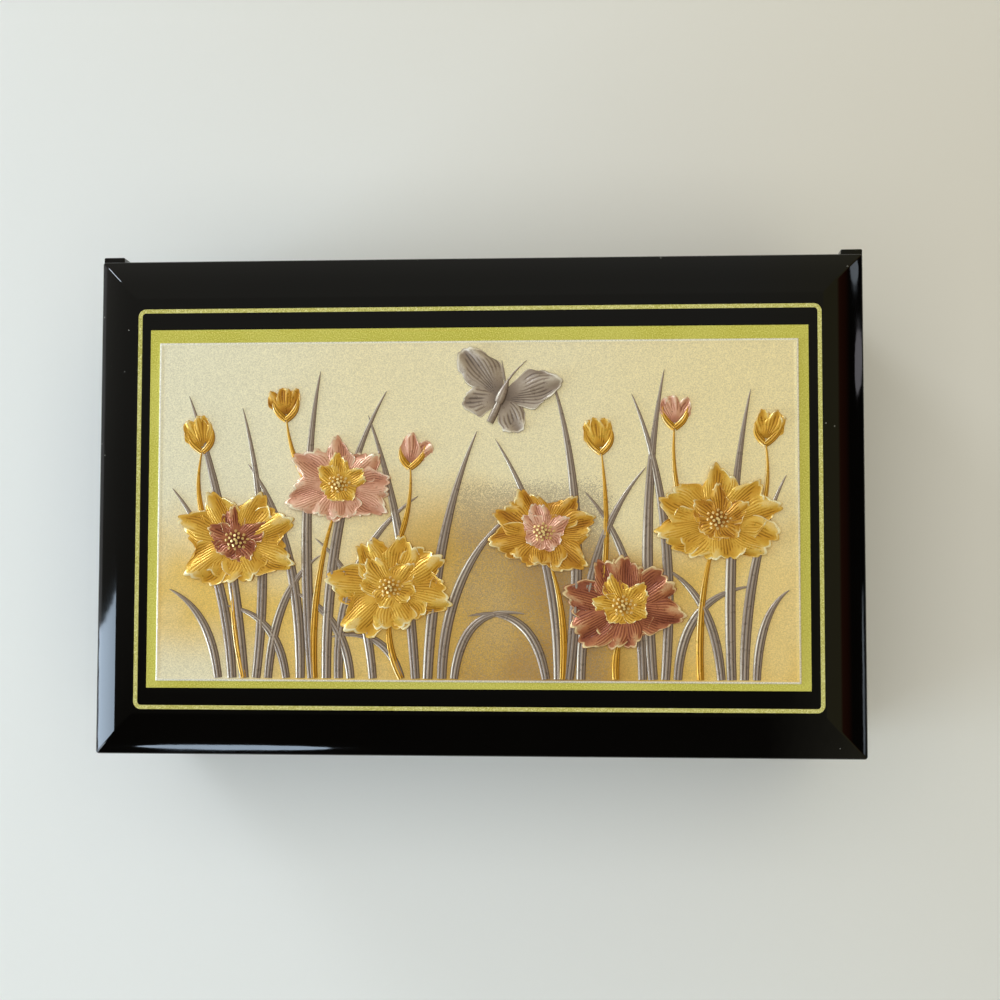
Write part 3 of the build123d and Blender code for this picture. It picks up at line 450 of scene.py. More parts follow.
# Inner side of the pillow: shares of its width and of its rise
INNER_RISE = ((0.12, 0.30), (0.30, 0.62), (0.55, 0.88), (0.78, 0.98), (1.0, 1.0))


def pillow_line(count):
    """Insets and heights from the level top out to the rim, steeper and steeper."""
    points, height = [(PILLOW_IN, Z_TOP)], Z_TOP
    step = (PILLOW_IN - RIM_LEAN) / count
    for i in range(count):
        share = 1 - (i + 0.5) / count
        height -= step * tan(SLOPE * (1 - share**EASE))
        points.append((PILLOW_IN - step * (i + 1), height))
    return points[::-1]


def inset_ring(inset, z, corner):
    return rectangle_ring(HALF_W - inset, HALF_D - inset, z, corner)


def lid_rings():
    rings = [inset_ring(inset, Z_LID + up, corner) for inset, up, corner in RIM_FOOT]
    lean = atan2(RIM_LEAN, RIM_H - RIM_FLAT)
    pillow = pillow_line(PILLOW_STEPS)
    edge_z = pillow[0][1]
    back = ROLL_R * tan((pi / 2 - lean - SLOPE) / 2)
    crease = CREASE_R + LEAST_R
    for i in range(ROLL_STEPS + 1):
        angle = lean + (pi / 2 - SLOPE - lean) * i / ROLL_STEPS
        inset = RIM_LEAN - back * sin(lean) + ROLL_R * (cos(lean) - cos(angle))
        z = edge_z - back * cos(lean) + ROLL_R * (sin(angle) - sin(lean))
        rings.append(inset_ring(inset, z, RIM_CORNER - (RIM_CORNER - crease) * i / ROLL_STEPS))
    past_roll = RIM_LEAN + back * cos(SLOPE) + 0.05
    for inset, z in pillow:
        if inset >= past_roll:
            corner = CREASE_R * min(1.0, (PILLOW_IN - inset) / 3.0) + LEAST_R
            rings.append(inset_ring(inset, z, corner))
    rings.append(inset_ring(PILLOW_IN + LEVEL_IN, Z_TOP, LEAST_R))
    return rings


def lid_inner_rings():
    edge, rim_top = 0.25, Z_LID + RIM_H
    rings = [inset_ring(WALL - edge, Z_LID, INNER_CORNER)]
    rings.append(inset_ring(WALL, Z_LID + edge, INNER_CORNER))
    rings.append(inset_ring(WALL, rim_top, INNER_CORNER))
    for share, up in INNER_RISE:
        inset = WALL + (PILLOW_IN - WALL) * share
        rings.append(inset_ring(inset, rim_top + (CEILING - rim_top) * up, INNER_CORNER))
    return rings


lid_mesh = ring_shell("lid_lacquered", lid_inner_rings()[::-1] + lid_rings())
place_piece(
    "lid_lacquered", lid_mesh, "lid", LACQUER, ("lid_shell",), degrees=40.0
)


def lathe_rings(profile, count, place):
    """Rings of a turned form; profile gives distance along the axis and radius."""
    rings = []
    for along, radius in profile:
        rings.append([
            place(along, radius * cos(2 * pi * i / count), radius * sin(2 * pi * i / count))
            for i in range(count)
        ])
    return rings


AXIS_Y, AXIS_Z = 61.5, 54.8
KNUCKLE_R, PIN_R, KNUCKLE_EDGE, KNUCKLE_SIDES = 2.2, 0.9, 0.3, 40
KNUCKLE_IN, KNUCKLE_OUT = 90.55, 95.9
LUG_TOP, LUG_FOOT, LUG_EDGE = 63.2, 1.2, 0.35   # top, root over the lid's edge, softened edge
TUCK = 0.1                                      # root inside the knuckle and the rim


def cuboid(work, low, high, bevel):
    """A block with softened edges, from its lowest to its highest corner in millimetres."""
    made = bmesh.ops.create_cube(work, size=1.0)["verts"]
    for vert in made:
        vert.co = Vector([
            ((low[k] + high[k]) / 2 + vert.co[k] * (high[k] - low[k])) * MM for k in range(3)
        ])
    edges = list({edge for vert in made for edge in vert.link_edges})
    bmesh.ops.bevel(work, geom=edges, offset=bevel * MM, segments=3, profile=0.5, affect="EDGES")


# Outline of a knuckle: distance from the middle of the lid and radius
KNUCKLE = (
    (KNUCKLE_IN, PIN_R), (KNUCKLE_IN, KNUCKLE_R - KNUCKLE_EDGE),
    (KNUCKLE_IN + KNUCKLE_EDGE, KNUCKLE_R), (KNUCKLE_OUT - KNUCKLE_EDGE, KNUCKLE_R),
    (KNUCKLE_OUT, KNUCKLE_R - KNUCKLE_EDGE), (KNUCKLE_OUT, PIN_R),
)
for side, label in ((-1, "left"), (1, "right")):
    turned = lathe_rings(
        KNUCKLE, KNUCKLE_SIDES, lambda a, b, c: (side * a, AXIS_Y + b, AXIS_Z + c)
    )
    knuckle = ring_shell("hinge_knuckle_" + label, turned)
    lug = bmesh.new()
    lug.from_mesh(knuckle)
    ends = sorted((side * KNUCKLE_IN, side * KNUCKLE_OUT))
    cuboid(
        lug, (ends[0], AXIS_Y - KNUCKLE_R + TUCK, AXIS_Z),
        (ends[1], HALF_D - TUCK, Z_LID + LUG_FOOT), TUCK,
    )
    cuboid(
        lug, (ends[0], AXIS_Y, AXIS_Z), (ends[1], AXIS_Y + KNUCKLE_R - 0.02, LUG_TOP), LUG_EDGE
    )
    lug.to_mesh(knuckle)
    lug.free()
    place_piece("hinge_knuckle_" + label, knuckle, "lid", LACQUER)

finished("gold_line", LINE_FOIL)
finished("gold_band", BAND_FOIL)

# Plaque: pressed sheet with a rolled edge

PLAQUE = [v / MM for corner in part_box("plaque_plate") for v in corner]
PLAQUE_W, PLAQUE_D = (PLAQUE[3] - PLAQUE[0]) / 2, (PLAQUE[4] - PLAQUE[1]) / 2
PLAQUE_Y = (PLAQUE[4] + PLAQUE[1]) / 2
PLAQUE_CORNER = 0.25
# Rolled edge: inset from the side and drop from the face, ending in the ground
PLAQUE_EDGE = (
    (0.0, 0.42), (0.06, 0.2), (0.2, 0.05), (0.42, 0.0), (0.75, 0.02), (1.0, 0.12), (1.3, 0.14),
    (2.4, 0.14), (2.8, 0.10),
)
GROUND = plaque_ground(PLAQUE_W * MM, PLAQUE_D * MM, PLAQUE_Y * MM)


def plaque_rings():
    rings = [rectangle_ring(PLAQUE_W, PLAQUE_D, Z_TOP, PLAQUE_CORNER)]
    for inset, down in PLAQUE_EDGE:
        rings.append(
            rectangle_ring(PLAQUE_W - inset, PLAQUE_D - inset, Z_FACE - down, PLAQUE_CORNER)
        )
    return [[(x, y + PLAQUE_Y, z) for x, y, z in ring] for ring in rings]


place_piece(
    "plaque_sheet", ring_shell("plaque_sheet", plaque_rings()), "lid", GROUND,
    ("plaque_plate",), degrees=50.0,
)
Z_GROUND = Z_FACE - PLAQUE_EDGE[-1][1]
Y_GROUND = PLAQUE_Y - PLAQUE_D + 0.9   # foot of the leaves and stems
ROOTED = 0.15                          # relief below the ground it stands on


def smoothstep(value, low, high):
    t = np.clip((value - low) / (high - low), 0.0, 1.0)
    return t * t * (3 - 2 * t)


class Relief:
    """Closed embossed forms gathered into one mesh, with each point's tone: dark in engraved lines, painted
    shade in hollows, painted highlights on ridges and margins.
    """

    def __init__(self):
        self.verts, self.faces, self.tone_and_painted_light = [], [], []

    def add(self, x, y, z, tone_and_painted_light):
        rows, cols = x.shape
        base = len(self.verts)
        self.verts.extend(zip(x.ravel(), y.ravel(), z.ravel()))
        self.tone_and_painted_light.extend(tone_and_painted_light.ravel())
        for i in range(rows - 1):
            for j in range(cols - 1):
                k = base + i * cols + j
                self.faces.append((k, k + 1, k + cols + 1, k + cols))
        loop = list(range(cols))
        loop += [i * cols + cols - 1 for i in range(1, rows)]
        loop += [(rows - 1) * cols + j for j in range(cols - 2, -1, -1)]
        loop += [i * cols for i in range(rows - 2, 0, -1)]
        foot = len(self.verts)
        for k in loop:
            px, py, _ = self.verts[base + k]
            self.verts.append((px, py, Z_GROUND - ROOTED))
            self.tone_and_painted_light.append(0.0)
        count = len(loop)
        for i in range(count):
            j = (i + 1) % count
            self.faces.append((base + loop[i], foot + i, foot + j, base + loop[j]))
        self.faces.append(tuple(foot + i for i in range(count)))

    def piece(self, name, material):
        mesh = bpy.data.meshes.new(name)
        mesh.from_pydata([tuple(float(c) * MM for c in v) for v in self.verts], [], self.faces)
        mesh.attributes.new("tone_and_painted_light", "FLOAT", "POINT").data.foreach_set(
            "value", np.array(self.tone_and_painted_light, np.float32)
        )
        work = bmesh.new()
        work.from_mesh(mesh)
        bmesh.ops.recalc_face_normals(work, faces=work.faces)
        work.to_mesh(mesh)
        work.free()
        return place_piece(
            name, mesh, "lid", material, degrees=SOFT_FORM, weighted=False
        )


PETAL_GRID, BUD_GRID, BLADE_GRID = (81, 49), (41, 25), (49, 25)
ENGRAVED, BEAD_UP = 0.11, 0.12          # depth of the lines, height of the margin
CUP_SHARE, FOLD_SHARE = 0.034, 0.027    # rise and folds of a petal, as shares of its length


def petal(
    relief, centre, angle, length, width, base, lift, lines, seed, ruffle, squash=1.0,
    grid=PETAL_GRID,
):
    """A fan-shaped petal: engraved lines from its root, folds, and a raised bead on its margin."""
    chance = np.random.RandomState(seed)
    wave = chance.uniform(0, 2 * pi, 4)
    u = np.linspace(-1, 1, grid[0])[None, :]
    v = np.linspace(0, 1, grid[1])[:, None]
    scallop = ruffle * (0.6 * np.sin(4.0 * u + wave[0]) + 0.55 * np.abs(np.sin(7.5 * u + wave[1])))
    reach = length * (0.06 + 0.94 * v) * (1 - 0.27 * u**2) * (1 + scallop * v**2)
    half = width * (0.12 + 0.88 * np.sin(pi / 2 * np.minimum(1, 1.08 * v)) ** 0.85)
    half = half * (1 - 0.24 * smoothstep(v, 0.68, 1.0)) * (1 + 0.09 * np.sin(11 * v + wave[2]) * v)
    curl = chance.uniform(-0.18, 0.18)
    x = u * half + curl * length * v**2
    y = reach + 0 * u
    spread = (u * 0.5 + 0.5) * lines + 0.6 * np.sin(2.5 * v + wave[3]) * (1 - np.abs(u))
    groove = np.exp(-(((spread % 1.0) - 0.5) / 0.20) ** 2)
    number = np.floor(spread)
    starts = 0.06 + 0.34 * (0.5 + 0.5 * np.sin(12.9898 * number + seed))
    stops = 0.94 - 0.22 * (0.5 + 0.5 * np.sin(7.31 * number + 2 * seed))
    margin = np.maximum(np.abs(u) ** 1.2 * smoothstep(v, 0.0, 0.3), v)
    body = smoothstep(v, starts, starts + 0.16) * (1 - smoothstep(margin, stops - 0.07, stops))
    # Height and painted highlight of the bead vary along the margin.
    uneven_painted_light = 0.5 + 0.5 * np.sin(5.3 * u + 4.1 * v + wave[1])
    bead = np.exp(-(((margin - 0.972) / 0.020) ** 2)) * (0.45 + 0.55 * uneven_painted_light)
    fold = np.cos(2.0 * pi * 0.85 * u + wave[0]) * smoothstep(v, 0.15, 0.85)
    cup = CUP_SHARE * length * (1 - u**2) * np.sin(pi * np.clip(v * 0.82, 0, 1)) ** 0.8
    z = base + lift * v**1.6 + cup + FOLD_SHARE * length * fold
    z = z - ENGRAVED * groove * body + BEAD_UP * bead
    # Painted shade: darker towards the root and in the hollows between the folds.
    painted_hollow_shade = (1 - smoothstep(v, 0.0, 0.45)) * 0.36 + 0.36 * (0.5 - 0.5 * fold) * (0.3 + 0.7 * v)
    # Tone: darker in the engraved lines and the painted shade, a painted highlight on the bead, lighter
    # towards the tip.
    tint = np.clip(0.66 - painted_hollow_shade - 0.36 * groove * body + 0.50 * bead + 0.12 * v, 0, 1)
    c, s = cos(angle), sin(angle)
    relief.add(
        centre[0] + c * x - s * y, centre[1] + squash * (s * x + c * y), Z_GROUND + z, tint + 0 * x
    )


FOOT_SHARE, BELLY_SHARE = 0.8, 1.15   # half width of a blade at its foot and half way


def blade(relief, root, bend, tip, width, height, grooves=True, base=0.02):
    """A long leaf or stem on a bent line, rounded across, with two engraved grooves."""
    t = np.linspace(0, 1, BLADE_GRID[0])[:, None]
    u = np.linspace(-1, 1, BLADE_GRID[1])[None, :]
    p = [np.array(q, float) for q in (root, bend, tip)]
    line = (1 - t) ** 2 * p[0] + 2 * t * (1 - t) * p[1] + t**2 * p[2]
    along = 2 * (1 - t) * (p[1] - p[0]) + 2 * t * (p[2] - p[1])
    along = along / np.linalg.norm(along, axis=1, keepdims=True)
    belly = FOOT_SHARE + (BELLY_SHARE - FOOT_SHARE) * np.sin(pi * t)
    half = width * belly * np.clip(1 - t, 0, 1) ** 0.55 + 0.05
    x = line[:, :1] - along[:, 1:2] * u * half
    y = line[:, 1:2] + along[:, :1] * u * half
    crown = (1 - np.abs(u) ** 2.6) ** 0.7
    cut = np.exp(-(((u + 0.42) / 0.13) ** 2)) + np.exp(-(((u - 0.30) / 0.13) ** 2))
    cut = cut * float(grooves)
    lit = np.exp(-(((u - 0.74) / 0.14) ** 2)) + 0.45 * np.exp(-(((u + 0.05) / 0.16) ** 2))
    fade = np.clip(1.12 - t, 0, 1) ** 0.45
    z = Z_GROUND + base + height * fade * (crown - 0.34 * cut * (1 - t**4))
    glint = lit * (0.55 + 0.45 * np.sin(7 * t + root[0]))
    # Tone: darker in the grooves, painted highlights along one side and the middle, and a painted shade strip
    # along the far edge.
    tint = 0.46 - 0.34 * cut * (1 - t**3) + 0.58 * glint - 0.26 * (u < -0.8)
    relief.add(x, y, z, np.clip(tint, 0, 1) + 0 * x)


# Layout of the relief, in millimetres

TINTS = {
    "gold": GOLD_PETAL, "amber": AMBER_PETAL, "copper": COPPER_PETAL, "rose": ROSE_PETAL,
}
# Blossoms: centre, size, lean of the whole flower, outer and inner tint
BLOSSOMS = (
    ((-59.0, -9.5), 14.2, 0.12, "gold", "copper"), ((-33.5, 4.5), 12.6, -0.22, "rose", "gold"),
    ((-20.5, -21.0), 14.6, 0.25, "gold", "gold"), ((17.0, -7.5), 12.4, -0.12, "amber", "rose"),
    ((36.5, -25.5), 13.8, 0.20, "copper", "gold"), ((59.5, -4.5), 14.4, -0.18, "gold", "amber"),
)
# One blossom seen half from the side: turn, reach, width, lift of each petal, the far ones first
FAR_PETALS = (
    (0.34, 0.98, 0.46, 0.38), (-0.46, 0.94, 0.50, 0.42),
    (1.22, 1.02, 0.58, 0.40), (-1.30, 0.98, 0.56, 0.46),
)
NEAR_PETALS = (
    (2.72, 0.74, 0.64, 0.54), (-2.02, 0.98, 0.60, 0.50),
    (1.98, 1.00, 0.58, 0.58), (-2.92, 0.70, 0.58, 0.64),
)
INNER_PETALS = (
    (0.14, 0.66, 0.30, 0.74), (1.02, 0.52, 0.34, 0.78), (-0.86, 0.56, 0.32, 0.80),
    (2.4, 0.34, 0.36, 0.88), (-2.3, 0.38, 0.34, 0.92),
)
# Buds: centre, size, turn, tint
BUDS = (
    ((-68.0, 14.0), 7.8, 0.30, "gold"), ((-47.0, 22.0), 7.0, 0.10, "amber"),
    ((-16.0, 10.0), 7.2, -0.28, "rose"), ((31.0, 13.5), 7.6, 0.22, "gold"),
    ((49.0, 19.5), 7.0, -0.05, "rose"), ((71.0, 15.5), 7.4, -0.30, "gold"),
)
PETAL_WIDTH, PETAL_LIFT, PETAL_RUFFLE, PETAL_TILT = 0.80, 0.16, 0.13, 0.90
BUD_PETALS, SEPALS = (-0.42, 0.42, 0.0), (-0.9, 0.9)   # turns from the bud's own
petals = {}
stems = Relief()
leaves = Relief()


def blossom(index, centre, size, lean, outer, inner):
    for layer, group, tint, lines in (
        ("far", FAR_PETALS, outer, 17), ("near", NEAR_PETALS, outer, 18),
        ("inner", INNER_PETALS, inner, 10),
    ):
        relief = petals.setdefault((layer, tint), Relief())
        for k, (turn_by, reach, width, up) in enumerate(group):
            seed = 100 * index + 20 * lines + k
            petal(
                relief, centre, turn_by + lean, size * reach, size * width * PETAL_WIDTH, up,
                PETAL_LIFT, lines, seed, PETAL_RUFFLE, PETAL_TILT,
            )


for index, row in enumerate(BLOSSOMS):
    blossom(index, *row)

for index, (centre, size, turn_by, tint) in enumerate(BUDS):
    for k, spread in enumerate(BUD_PETALS):
        petal(
            petals.setdefault(("bud", tint), Relief()), centre, turn_by + spread, size, size * 0.34,
            0.04 + 0.16 * k, 0.12, 6, 900 + 10 * index + k, 0.06, grid=BUD_GRID,
        )
    for spread in SEPALS:
        blade(
            stems, (centre[0], centre[1] - 1.0),
            (centre[0] - size * 0.5 * sin(turn_by + spread * 1.4), centre[1] + size * 0.2),
            (centre[0] - size * 0.55 * sin(turn_by + spread), centre[1] + size * 0.62), 0.9, 0.42,
            base=0.15,
        )

# Blossom stems: foot on the lower edge, bend, tip. Bud stems: root under a blossom, bend, tip
STEM_UP = 0.13
for foot, bend, tip in (
    (-57.0, (-61.0, -26.0), (-59.5, -13.0)), (-39.5, (-41.0, -20.0), (-34.0, 0.0)),
    (-18.0, (-22.5, -34.0), (-20.5, -25.0)), (21.5, (23.0, -26.0), (17.5, -12.0)),
    (34.5, (34.0, -36.0), (36.5, -29.0)), (55.0, (54.0, -22.0), (59.0, -8.0)),
):
    blade(stems, (foot, Y_GROUND), bend, tip, 1.0, 0.52, base=STEM_UP)
for root, bend, tip in (
    ((-62.0, -13.0), (-71.5, -2.0), (-68.0, 14.0)), ((-36.5, 0.0), (-46.0, 8.0), (-47.0, 22.0)),
    ((-23.0, -16.0), (-15.0, -6.0), (-16.0, 10.0)), ((31.0, -22.0), (33.5, -6.0), (31.0, 13.5)),
    ((54.0, -9.0), (47.5, 2.0), (49.0, 19.5)), ((66.0, -9.0), (73.0, 0.0), (71.0, 15.5)),
):
    blade(stems, root, bend, tip, 0.8, 0.45, base=STEM_UP)

LEAF_H, BROADER = 0.50, 1.22   # height of a leaf, and all leaves beyond the widths in the list
# Leaves: foot on the lower edge, bend, tip, half width
LEAVES = (
    (-63.5, (-65.5, -26.0), (-76.0, -21.0), 1.00), (-60.0, (-62.0, -12.0), (-75.5, 4.0), 1.15),
    (-57.0, (-61.0, -2.0), (-71.5, 27.0), 1.20), (-54.0, (-50.0, -6.0), (-58.0, 24.0), 1.10),
    (-51.0, (-49.5, -20.0), (-38.0, -12.5), 1.00), (-46.5, (-48.5, -27.0), (-62.0, -25.0), 0.95),
    (-43.0, (-43.0, -8.0), (-56.5, 10.0), 1.15), (-40.0, (-44.0, 4.0), (-38.5, 33.0), 1.20),
    (-36.5, (-37.0, 2.0), (-22.0, 28.0), 1.15), (-33.5, (-34.5, -12.0), (-14.0, 2.0), 1.10),
    (-30.5, (-32.0, -26.0), (-46.5, -21.0), 1.00), (-25.0, (-27.0, -18.0), (-39.5, -8.5), 1.00),
    (-18.0, (-22.0, -29.0), (-36.5, -33.0), 0.90), (-14.5, (-17.0, -4.0), (-26.5, 22.0), 1.10),
    (-11.5, (-10.0, -6.0), (0.5, 18.0), 1.20), (-8.0, (-7.5, -16.0), (9.5, -2.0), 1.15),
    (-5.0, (-3.0, -24.0), (12.5, -27.0), 1.00), (17.5, (14.5, -24.0), (-1.5, -27.5), 1.00),
    (20.5, (21.0, -10.0), (5.0, 16.0), 1.15), (23.0, (28.5, 0.0), (19.0, 31.0), 1.20),
    (26.0, (26.5, -8.0), (42.0, 9.0), 1.10), (41.0, (41.0, -12.0), (27.0, 3.0), 1.05),
    (43.5, (40.0, 0.0), (46.5, 33.0), 1.20), (46.5, (50.0, 0.0), (38.5, 27.0), 1.10),
    (49.5, (50.5, -22.0), (68.0, -20.0), 1.05), (60.0, (58.5, -22.0), (46.0, -15.5), 1.00),
    (62.5, (61.0, -2.0), (67.5, 28.0), 1.15), (65.5, (66.0, -12.0), (76.0, 7.0), 1.10),
    (68.5, (69.0, -26.0), (76.5, -21.0), 0.95),
)
for k, (foot, bend, tip, width) in enumerate(LEAVES):
    blade(leaves, (foot, Y_GROUND), bend, tip, BROADER * width, LEAF_H, base=0.01 + 0.04 * (k % 3))

# Butterfly over the blossoms

FLY, FLY_TURN = (6.5, 26.5), -0.42
# Fore and hind wings: turn, length, width, base, lift, lines, seed, ruffle
WINGS = ((0.98, 15.0, 5.2, 0.16, 0.34, 11, 970, 0.04), (2.05, 9.5, 4.4, 0.05, 0.22, 8, 980, 0.05))
# Body in two parts: root, bend and tip from the middle, width, height
FLY_BODY = (
    ((-2.8, -6.4), (-0.9, -2.6), (0.5, 1.2), 1.0, 0.75),
    ((-0.7, -1.6), (0.5, 1.0), (1.8, 4.4), 1.3, 0.95),
)
wings = Relief()
for side in (-1, 1):
    for turn_by, length, width, base, lift, lines, seed, ruffle in WINGS:
        petal(
            wings, FLY, side * turn_by + FLY_TURN, length, width, base, lift, lines, seed + side,
            ruffle,
        )
    feeler = (FLY[0] + side * 3.1 + 3.2, FLY[1] + 9.0)
    blade(
        wings, (FLY[0] + 1.0, FLY[1] + 3.0), (FLY[0] + side * 1.2 + 1.8, FLY[1] + 6.2), feeler, 0.24,
        0.3, grooves=False,
    )
for root, bend, tip, width, height in FLY_BODY:
    ends = [(FLY[0] + dx, FLY[1] + dy) for dx, dy in (root, bend, tip)]
    blade(wings, *ends, width, height, grooves=False, base=0.25)

for (layer, tint), relief in petals.items():
    relief.piece(f"petals_{layer}_{tint}", TINTS[tint])
stems.piece("stems", GOLD_PETAL)
leaves.piece("leaves", PEWTER)
wings.piece("butterfly", PEWTER)


# Studs laid by rule: the stamens in the blossoms

def stud_tree():
    tree = bpy.data.node_groups.new("studs", "GeometryNodeTree")
    face = tree.interface
    face.new_socket("Geometry", in_out="INPUT", socket_type="NodeSocketGeometry")
    sizes = {}
    for name, value in (("Foot Radius", 0.0003), ("Tip Radius", 0.0002), ("Height", 0.001)):
        socket = face.new_socket(name, in_out="INPUT", socket_type="NodeSocketFloat")
        socket.default_value = value
        sizes[name] = socket.identifier
    sides = face.new_socket("Sides", in_out="INPUT", socket_type="NodeSocketInt")
    sides.default_value = 6
    sizes["Sides"] = sides.identifier
    coat = face.new_socket("Material", in_out="INPUT", socket_type="NodeSocketMaterial")
    sizes["Material"] = coat.identifier
    face.new_socket("Geometry", in_out="OUTPUT", socket_type="NodeSocketGeometry")
    nodes, links = tree.nodes, tree.links
    start, end = nodes.new("NodeGroupInput"), nodes.new("NodeGroupOutput")
    cone = nodes.new("GeometryNodeMeshCone")
    points = nodes.new("GeometryNodeMeshToPoints")
    outwards = nodes.new("GeometryNodeInputNamedAttribute")
    outwards.data_type = "FLOAT_VECTOR"
    outwards.inputs["Name"].default_value = "outwards"
    align = nodes.new("FunctionNodeAlignRotationToVector")
    align.axis = "Z"
    instance = nodes.new("GeometryNodeInstanceOnPoints")
    real = nodes.new("GeometryNodeRealizeInstances")
    coating = nodes.new("GeometryNodeSetMaterial")
    for a, b in (
        (start.outputs["Geometry"], points.inputs["Mesh"]),
        (start.outputs["Foot Radius"], cone.inputs["Radius Bottom"]),
        (start.outputs["Tip Radius"], cone.inputs["Radius Top"]),
        (start.outputs["Height"], cone.inputs["Depth"]),
        (start.outputs["Sides"], cone.inputs["Vertices"]),
        (points.outputs["Points"], instance.inputs["Points"]),
        (cone.outputs["Mesh"], instance.inputs["Instance"]),
        (outwards.outputs["Attribute"], align.inputs["Vector"]),
        (align.outputs["Rotation"], instance.inputs["Rotation"]),
        (instance.outputs["Instances"], real.inputs["Geometry"]),
        (real.outputs["Geometry"], coating.inputs["Geometry"]),
        (start.outputs["Material"], coating.inputs["Material"]),
        (coating.outputs["Geometry"], end.inputs["Geometry"]),
    ):
        links.new(a, b)
    return tree, sizes


STUDS, STUD_SIZES = stud_tree()


def studs(name, points, outwards, material, foot, tip, height, sides):
    """One mesh of small cones, one on each point, standing along its own direction."""
    seeds = bpy.data.meshes.new(name + "_points")
    seeds.from_pydata([tuple(c * MM for c in p) for p in points], [], [])
    seeds.attributes.new("outwards", "FLOAT_VECTOR", "POINT").data.foreach_set(
        "vector", np.array(outwards, np.float32).ravel()
    )
    carrier = bpy.data.objects.new(name + "_carrier", seeds)
    bpy.context.scene.collection.objects.link(carrier)
    made = carrier.modifiers.new("studs", "NODES")
    made.node_group = STUDS
    values = {
        "Foot Radius": foot * MM, "Tip Radius": tip * MM, "Height": height * MM, "Sides": sides,
        "Material": material,
    }
    for key, value in values.items():
        made[STUD_SIZES[key]] = value
    bpy.context.view_layer.update()
    ready = carrier.evaluated_get(bpy.context.evaluated_depsgraph_get())
    mesh = bpy.data.meshes.new_from_object(ready)
    carrier.modifiers.remove(made)
    bpy.data.objects.remove(carrier)
    mesh.name = name
    return mesh


STAMENS, GOLDEN_ANGLE = 23, 2.399963   # a blossom, and the turn from one to the next
STAMEN_UP, STAMEN_LEAN, STAMEN_TONE = 1.12, 0.5, 0.8
stamen_points, stamen_ways = [], []
for centre, size, *_ in BLOSSOMS:
    for k in range(STAMENS):
        angle, far = GOLDEN_ANGLE * k, size * 0.030 * k**0.6
        spot = (centre[0] + far * cos(angle), centre[1] + 0.5 + 0.85 * far * sin(angle))
        stamen_points.append((*spot, Z_GROUND + STAMEN_UP))
        stamen_ways.append((STAMEN_LEAN * far * cos(angle), STAMEN_LEAN * far * sin(angle), 1.0))
stamens = studs(
    "stamens", stamen_points, stamen_ways, GOLD_PETAL, foot=0.26, tip=0.36, height=0.5, sides=7
)
# The stamens take one fixed tone on the gold ramp, between its light colour and its painted-highlight colour.
stamens.attributes.new("tone_and_painted_light", "FLOAT", "POINT").data.foreach_set(
    "value", np.full(len(stamens.vertices), STAMEN_TONE, np.float32)
)
place_piece("stamens", stamens, "lid", GOLD_PETAL, degrees=0, weighted=False)

# Inside of the lid, case, tray

finished("lid_lining", WINE_FLOCK)
finished("mirror_glass", MIRROR)
finished("mirror_backing", CARD)
finished("case_shell", LACQUER)
finished("feet", RUBBER)
finished("hinge_pins", STEEL)
finished("tray_insert", WINE_FLOCK)
finished("movement_window", CLEAR)

# Ring rolls: foam under velvet, crowned, gathered at the ends

ROLL_START, ROLL_END = -89.25, 25.25
ROLL_TOP, ROLL_FOOT, ROLL_HALF_Y = 50.9, 39.0, 5.62
ROLL_FIRST_Y, ROLL_PITCH = 14.2, 12.0
GATHERED, CORE_SHARE = 4.2, 0.12   # length of a drawn-in end, and what is left of the width there
ALONG, AROUND = 73, 40


def ring_roll(index, y):
    chance = np.random.RandomState(60 + index)
    wave = chance.uniform(0, 2 * pi, 4)
    length = ROLL_END - ROLL_START
    middle = (ROLL_TOP + ROLL_FOOT) / 2
    half_z = (ROLL_TOP - ROLL_FOOT) / 2
    rings = []
    for i in range(ALONG + 1):
        t = i / ALONG
        x = ROLL_START + length * t
        near_end = min(1.0, min(t, 1 - t) * length / GATHERED)
        close = (1 - (1 - near_end) ** 2.4) ** 0.5
        swell = 1 + 0.012 * sin(2 * pi * 3 * t + wave[0]) + 0.008 * sin(2 * pi * 7 * t + wave[1])
        ring = []
        for k in range(AROUND):
            a = 2 * pi * k / AROUND
            c, s = cos(a), sin(a)
            py = ROLL_HALF_Y * (abs(c) ** 0.82) * (1 if c > 0 else -1)
            pz = half_z * (abs(s) ** (0.95 if s > 0 else 0.62)) * (1 if s > 0 else -1)
            if s < 0:
                py *= 1 - 0.16 * abs(s)
            scale = max(CORE_SHARE, close) * min(1.0, swell)
            ring.append((x, y + py * scale, middle + pz * (0.30 + 0.70 * scale)))
        rings.append(ring)
    return ring_shell(f"ring_roll_soft_{index}", rings)


for index in range(4):
    mesh = ring_roll(index + 1, ROLL_FIRST_Y + ROLL_PITCH * index)
    roll = place_piece(
        f"ring_roll_soft_{index + 1}", mesh, "case", WINE_VELVET,
        (f"ring_roll_{index + 1}",), degrees=SOFT_FORM, weighted=False,
    )

# Movement

MOVEMENT = (
    ("bedplate", ZINC, "zinc"), ("cylinder_bridge", ZINC, "zinc"), ("train_bracket", BRASS, "brass"),
    ("governor_bridge", BRASS, "brass"), ("comb", BLUED, "steel"), ("comb_weights", LEAD, "lead"),
    ("comb_screws", STEEL, "steel"), ("mounting_screws", STEEL, "steel"),
    ("spring_barrel", BARREL_BRASS, "brass"), ("barrel_cover", BARREL_BRASS, "brass"),
    ("mainspring", BLUED, "steel"), ("winding_arbor", STEEL, "steel"), ("winding_key", BARREL_BRASS, "brass"),
    ("cylinder_arbor", STEEL, "steel"), ("pinned_drum", BRASS, "brass"), ("cylinder_gear", BRASS, "brass"),
    ("intermediate_arbor", STEEL, "steel"), ("worm_wheel", NYLON, "nylon"),
    ("governor_worm", STEEL, "steel"), ("air_brake_fan", NYLON, "nylon"), ("stop_lever", STEEL, "steel"),
    ("lever_bracket", STEEL, "steel"), ("lever_pin", STEEL, "steel"),
)
for node, material, slot in MOVEMENT:
    finished(node, material)

# Stage and light

